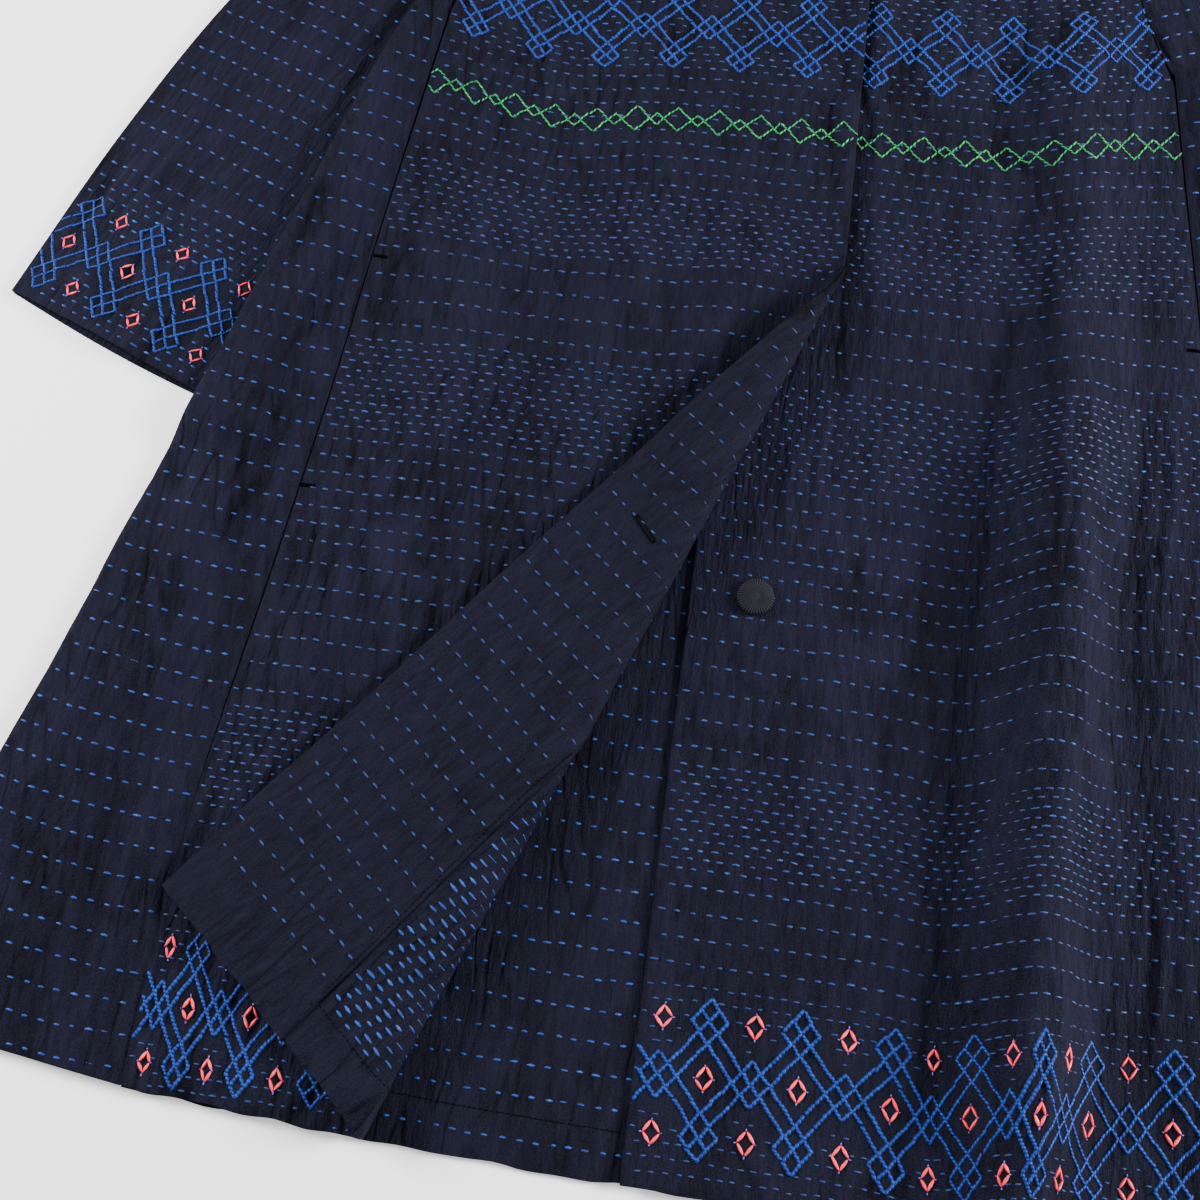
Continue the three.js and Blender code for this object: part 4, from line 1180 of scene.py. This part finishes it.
def insideFront(side):
    def keepLeft(u, v):
        return (u > -coat["overlap"] + 2) & (u < frontSeamX(v) - 1.5) & (v > hemY(u) + 2)

    def keepRight(u, v):
        across = (u > -frontSeamX(v) + 1.5) & (u < freeEdge(v) - 1.5)
        return across & (pastTurn(u, v) < 6) & (v > hemY(u) + 2)
    return keepLeft if side == "left" else keepRight


def frontEmbroidery(side):
    surface = (frontLeft, leftPlace) if side == "left" else (frontRight, rightPlace)
    low, high = (-36, 320) if side == "left" else (-320, 40)
    title = side.capitalize()
    keep = insideFront(side)
    warp = latticeWarp(side)
    hemTops = motifCentres(low - 60, high + 60, hemLattice, hemPhase[side])
    chestTops = motifCentres(low, high, chestLattice)
    ends = latticeStitches(hemTops, hemLattice["cell"], hemLattice["top"])
    lineStitches("hemLattice" + title, surface, ends, latticeThread, 2.5, 0.85, 51, warp, keep=keep,
                 over=0.3, parts=3)
    ends = latticeStitches(chestTops, chestLattice["cell"], chestLattice["top"])
    lineStitches("chestLattice" + title, surface, ends, latticeThread, 2.35, 0.8, 52, warp, keep=keep,
                 over=0.3, parts=3)
    centres = pinkCentres(hemTops, hemLattice)
    ends = diamondStitches(centres, pinkLook["halfWidth"], pinkLook["halfHeight"])
    lineStitches("pinkDiamonds" + title, surface, ends, pinkThread, pinkLook["width"], pinkLook["height"],
                 53, warp, 0.35, keep=keep)
    ends = tipStitches(centres, pinkLook["halfWidth"], pinkLook["halfHeight"])
    lineStitches("violetTips" + title, surface, ends, violetThread, 1.0, 0.6, 54, warp, 0.35, 0.2, keep=keep)
    greenChain("greenChain" + title, surface, low, high, warp, keep)


chainLook = dict(period=26.5, big=9.0, small=4.3, tall=9.0, short=4.3, y=637.0)


def greenChain(name, surface, low, high, warp, keep):
    # two zigzags that cross, so that large and small diamonds follow each other
    look = chainLook
    nodes = [(-look["big"], 0), (0, look["tall"]), (look["big"], 0), (look["period"] / 2, -look["short"]),
             (look["period"] - look["big"], 0)]
    ends = []
    for start in motifCentres(low, high, look):
        for flip in (1, -1):
            for (x0, y0), (x1, y1) in zip(nodes[:-1], nodes[1:]):
                parts = 2 if abs(y1 - y0) > 6 else 1
                for k in range(parts):
                    first, last = k / parts, (k + 1) / parts
                    ends.append((start + mix(x0, x1, first), look["y"] + flip * mix(y0, y1, first),
                                 start + mix(x0, x1, last), look["y"] + flip * mix(y0, y1, last)))
    lineStitches(name, surface, np.array(ends).T, greenThread, 1.3, 0.7, 55, warp, 0.3, keep=keep,
                 over=0.16, parts=2)


def sideStitches(sign):
    side = "Left" if sign > 0 else "Right"
    surface = (sideLeft if sign > 0 else sideRight, sidePlace(sign))
    rows = bandRows([(700, 14, 16.3)])

    def spanAt(y):
        return float(seamX(y)) + 2, float(sideX(y)) - 2

    def drift(x, y):  # the rows rise towards the side, square to the flared side fold
        return 0.0011 * (x - seamX(y)) ** 2 + 1.2 * softNoise(x, y, 60, 40, 25)
    u, v = rowStitches(rows, spanAt, lambda x, y: sideUpper(sign, x, y), 33 + sign, drift=drift)
    keep = (u < sideX(np.minimum(v, justBelowUnderarm)) - 2) & (v < justBelowUnderarm - 3)
    u, v = u[keep], v[keep]
    laidStitches("runningStitchSide" + side, surface, u, v, 43 + sign, blueThread,
                 tilt=slopeOf(drift, u, v), flip=sign)


cuffDiamond = (4.0, 5.2)  # half width, half height


def sleeveStitches(sign):
    side = "Left" if sign > 0 else "Right"
    surface = (sleeveLeft if sign > 0 else sleeveRight, sleevePlan(sign))
    rows = np.concatenate([np.array(bandRows([(100, 3, 6.4)])), np.array(bandRows([(520, 100, 16.3)]))])
    look = cuffLattice
    tops = 11.6 + look["period"] * np.arange(-1, 5)
    random = np.random.default_rng(61)
    us, vs = [], []
    for index, c in enumerate(rows):
        at = np.arange(-60, 330, stitchLook["pitch"]) + stitchLook["pitch"] * 0.5 * (index % 2)
        row = np.full(len(at), c)
        us.append(at + random.normal(0, 0.4, len(at)))
        vs.append(row + random.normal(0, 0.3, len(at)) + 2 * softNoise(at, row, 60, 50, 27))
    u, v = np.concatenate(us), np.concatenate(vs)
    keep = clearOf(look, tops, True, u, v) | (v > 96)
    keep &= insideSleeve(u, v, 2.5)
    u, v = u[keep], v[keep]
    laidStitches("runningStitchSleeve" + side, surface, u, v, 45 + sign, blueThread, flip=-sign)

    def inside(w, c):
        return insideSleeve(w, c, 1.5)
    ends = latticeStitches(tops, look["cell"], look["top"])
    lineStitches("cuffLattice" + side, surface, ends, latticeThread, 2.0, 0.8, 56, keep=inside, over=0.3,
                 parts=3, lift=-0.25 * sign)
    centres = pinkCentres(tops, look)
    ends = diamondStitches(centres, *cuffDiamond)
    lineStitches("cuffDiamonds" + side, surface, ends, pinkThread, 1.6, 0.75, 57, keep=inside,
                 lift=-0.35 * sign)
    ends = tipStitches(centres, *cuffDiamond)
    lineStitches("cuffTips" + side, surface, ends, violetThread, 1.0, 0.6, 58, keep=inside,
                 lift=-0.35 * sign)


def insideSleeve(w, c, margin):
    x = cuffCorner[0] + cuffAlong[0] * w + cuffUp[0] * c
    y = cuffCorner[1] + cuffAlong[1] * w + cuffUp[1] * c
    k, along = sleeveShares(x, y)
    px, py = sleevePlace(k, along)
    away = np.hypot(px - x, py - y)
    fromFold = np.minimum(k, 1 - k) * sleeveLook["width"]
    return (away < 1.5) & (fromFold > margin) & (c > 1.5) & (along > 0.004)


def noRise(x, y):
    return 0 * x


def backStitches():  # only what shows between the fronts
    rows = bandRows([(880, 27, 16.0), (27, 0, 27.0)])
    u, v = rowStitches(rows, lambda y: (-230.0, 40.0), noRise, 35,
                       drift=lambda x, y: hemY(x) + 0.8 * softNoise(x, y, 50, 40, 26))
    keep = v < 560
    laidStitches("runningStitchBackInside", (back, backPlace), u[keep], v[keep], 47, blueThread)


def turnedCornerStitches():
    # on the facing sparse rows, on the front's own wrong side the rows of its bands
    def onFacing(y):
        free = float(freeEdge(y))
        return max(free - coat["facingWidth"], turnLineX(y) + 4) + 1.5, free - 1.5

    def onFront(y):
        return turnLineX(y) + 7, float(freeEdge(y)) - coat["facingWidth"] - 3
    u, v = rowStitches(bandRows([(520, 30, 16.2)]), onFacing, noRise, 36, drift=noRise)
    laidStitches("runningStitchFacing", (frontFacing, rightWrongPlace), u, v, 48, quiltThread, facingLook,
                 flip=-1)
    u, v = rowStitches(bandRows(turnedBands), onFront, noRise, 37, drift=noRise)
    laidStitches("runningStitchTurned", (frontRight, rightWrongPlace), u, v, 49, blueThread, turnedLook,
                 flip=-1)


machineLook = dict(length=2.3, pitch=2.9, width=0.6, height=0.35)
holeLook = dict(at=(-65.5, 351.6), length=19.0, reach=1.9, slot=0.35, step=0.46, lean=0.2)
tackLook = dict(length=9.0, tall=2.6, step=0.5, upper=515.0, lower=358.0)


def machineLine(name, surface, u, v, seed, flip=1):
    # even small stitches along a line given by points on the cloth
    walked = np.concatenate([[0], np.cumsum(np.hypot(np.diff(u), np.diff(v)))])
    at = np.arange(1.5, walked[-1] - machineLook["pitch"], machineLook["pitch"])
    ends = [np.interp(where, walked, line) for where in (at, at + machineLook["length"]) for line in (u, v)]
    lineStitches(name, surface, ends, darkThread, machineLook["width"], machineLook["height"], seed,
                 lift=0.1 * flip, slack=0.05, over=0)


def clothOfTurned(x, y):  # the cloth point that lies at x, y on the turned corner
    reach = math.pi * coat["foldRadius"] - 2 * pastTurn(x, y)
    return x + turnOut[0] * reach, y + turnOut[1] * reach


def buttonhole():
    # worked across the edge on the facing: a slot with close stitches on both sides and bars at its ends
    u, v = clothOfTurned(*holeLook["at"])
    half, reach, slot = holeLook["length"] / 2, holeLook["reach"], holeLook["slot"]
    ks = np.arange(-half, half, holeLook["step"])
    ends = [(k, side * slot, k, side * reach) for k in ks for side in (1, -1)]
    ends += [(side * (half + k), -reach, side * (half + k), reach) for side in (1, -1) for k in (0, 0.6, 1.2)]
    c, s = math.cos(holeLook["lean"]), math.sin(holeLook["lean"])
    ends = [(u + c * a - s * b, v + s * a + c * b, u + c * d - s * e, v + s * d + c * e) for a, b, d, e in ends]
    lineStitches("buttonhole", (frontFacing, rightWrongPlace), np.array(ends).T, darkThread, 0.62, 0.75,
                 71, lift=-0.1, slack=0.08, over=0)


def pocketTacks():
    # close zigzag bars where the pocket mouths in the side seams begin and end
    fronts = (("Left", (frontLeft, leftPlace), 1), ("Right", (frontRight, rightPlace), -1))
    for side, surface, sign in fronts:
        ends = []
        for y in (tackLook["upper"], tackLook["lower"]):
            inner = float(seamX(y)) - 1.0 - tackLook["length"]
            for k in np.arange(0, tackLook["length"], tackLook["step"]):
                x = sign * (inner + k)
                ends.append((x, y - tackLook["tall"] / 2, x + 0.3, y + tackLook["tall"] / 2))
        lineStitches("pocketTacks" + side, surface, np.array(ends).T, darkThread, 0.6, 0.6, 72,
                     slack=0.06, over=0)


def machineLines():
    x = np.linspace(-225, -38, 60)
    machineLine("backHemStitching", (back, backPlace), x, hemY(x) + coat["hemTurn"] - 1.6, 73)
    v = np.linspace(22, 215, 60)
    u = freeEdge(v - 2) - coat["facingWidth"] + 1.8
    machineLine("facingEdgeStitching", (frontFacing, rightWrongPlace), u, v, 74, -1)
    u = np.linspace(-182, -96, 40)
    v = hemY(u) + coat["hemTurn"] - 1.6
    machineLine("turnedHemStitching", (frontRight, rightWrongPlace), u, v, 75, -1)


for name in ("left", "right"):
    frontStitches(name)
    frontEmbroidery(name)
for sign in (1, -1):
    sideStitches(sign)
    sleeveStitches(sign)
backStitches()
turnedCornerStitches()
buttonhole()
pocketTacks()
machineLines()
print("stitches laid")

# each cloth with its cut, in metres: width and length of the piece laid out, its area where it
# tapers, and the nodes that it rests on
cuts = [
    (back, (0.602, 0.966), 0.51, []),
    (frontLeft, (0.40, 0.966), 0.30, ["back"]),
    (frontRight, (0.37, 0.966), 0.29, ["back", "front_left"]),
    (frontFacing, (0.106, 0.52), 0.047, ["front_right"]),
    (sideLeft, (0.31, 0.70), 0.125, ["sleeve_left"]),
    (sideRight, (0.31, 0.70), 0.125, ["sleeve_right"]),
    (sleeveLeft, (0.41, 0.53), 0.14, []),
    (sleeveRight, (0.41, 0.53), 0.14, []),
    (neck, (0.16, 0.09), 0.0112, ["back"]),
]
for piece, flat, area, under in cuts:
    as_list(under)

floorMaterial, _, floorShader = newMaterial("paleFloor")
floorShader.inputs["Base Color"].default_value = (0.97, 0.97, 0.97, 1)
floorShader.inputs["Roughness"].default_value = 0.9
floorShader.inputs["Emission Color"].default_value = (1, 1, 1, 1)  # a light table, a little lit from below
floorShader.inputs["Emission Strength"].default_value = 0.3
floorMesh = bpy.data.meshes.new("floor")
corners = [(-4, -4), (4, -4), (4, 4), (-4, 4)]
floorMesh.from_pydata([(x, y, -0.0004) for x, y in corners], [], [(0, 1, 2, 3)])
floor = bpy.data.objects.new("floor", floorMesh)
bpy.context.scene.collection.objects.link(floor)
floor.data.materials.append(floorMaterial)

world = bpy.data.worlds.new("studio")
bpy.context.scene.world = world
world.use_nodes = True
world.node_tree.nodes["Background"].inputs[0].default_value = (1, 1, 1, 1)
world.node_tree.nodes["Background"].inputs[1].default_value = 0.5


def areaLight(name, place, target, size, power):
    data = bpy.data.lights.new(name, "AREA")
    data.size = size
    data.energy = power
    light = bpy.data.objects.new(name, data)
    light.location = place
    light.rotation_euler = (Vector(target) - Vector(place)).to_track_quat("-Z", "Y").to_euler()
    bpy.context.scene.collection.objects.link(light)


areaLight("rightLight", (1.7, 0.15, 0.85), (0.05, -0.15, 0), 0.6, 112)
areaLight("leftLight", (-1.7, 0.25, 0.8), (-0.3, -0.05, 0), 0.6, 74)
areaLight("topLight", (0.1, 0.3, 2.6), (0, -0.1, 0), 1.6, 26)

# The photo looks down at the lower half of the coat, 17 degrees from upright, with the coat turned
# 7.5 degrees in the picture
view = dict(distance=814.0, tilt=math.radians(17), roll=math.radians(7.5), target=(-87.0, 311.5), lens=42.0)
upInPlane = Vector((-math.sin(view["roll"]), math.cos(view["roll"]), 0))
target = Vector((view["target"][0], view["target"][1] - coat["length"] / 2, 0))
eye = (target - upInPlane * view["distance"] * math.sin(view["tilt"])
       + Vector((0, 0, view["distance"] * math.cos(view["tilt"])))) * toMetres
forward = (target * toMetres - eye).normalized()
right = forward.cross(upInPlane).normalized()
up = right.cross(forward)
cameraData = bpy.data.cameras.new("camera")
cameraData.lens = view["lens"]
cameraData.sensor_width = 36
camera = bpy.data.objects.new("camera", cameraData)
camera.matrix_world = Matrix.Translation(eye) @ Matrix((right, up, -forward)).transposed().to_4x4()
bpy.context.scene.collection.objects.link(camera)
bpy.context.scene.camera = camera

bpy.context.view_layer.update()
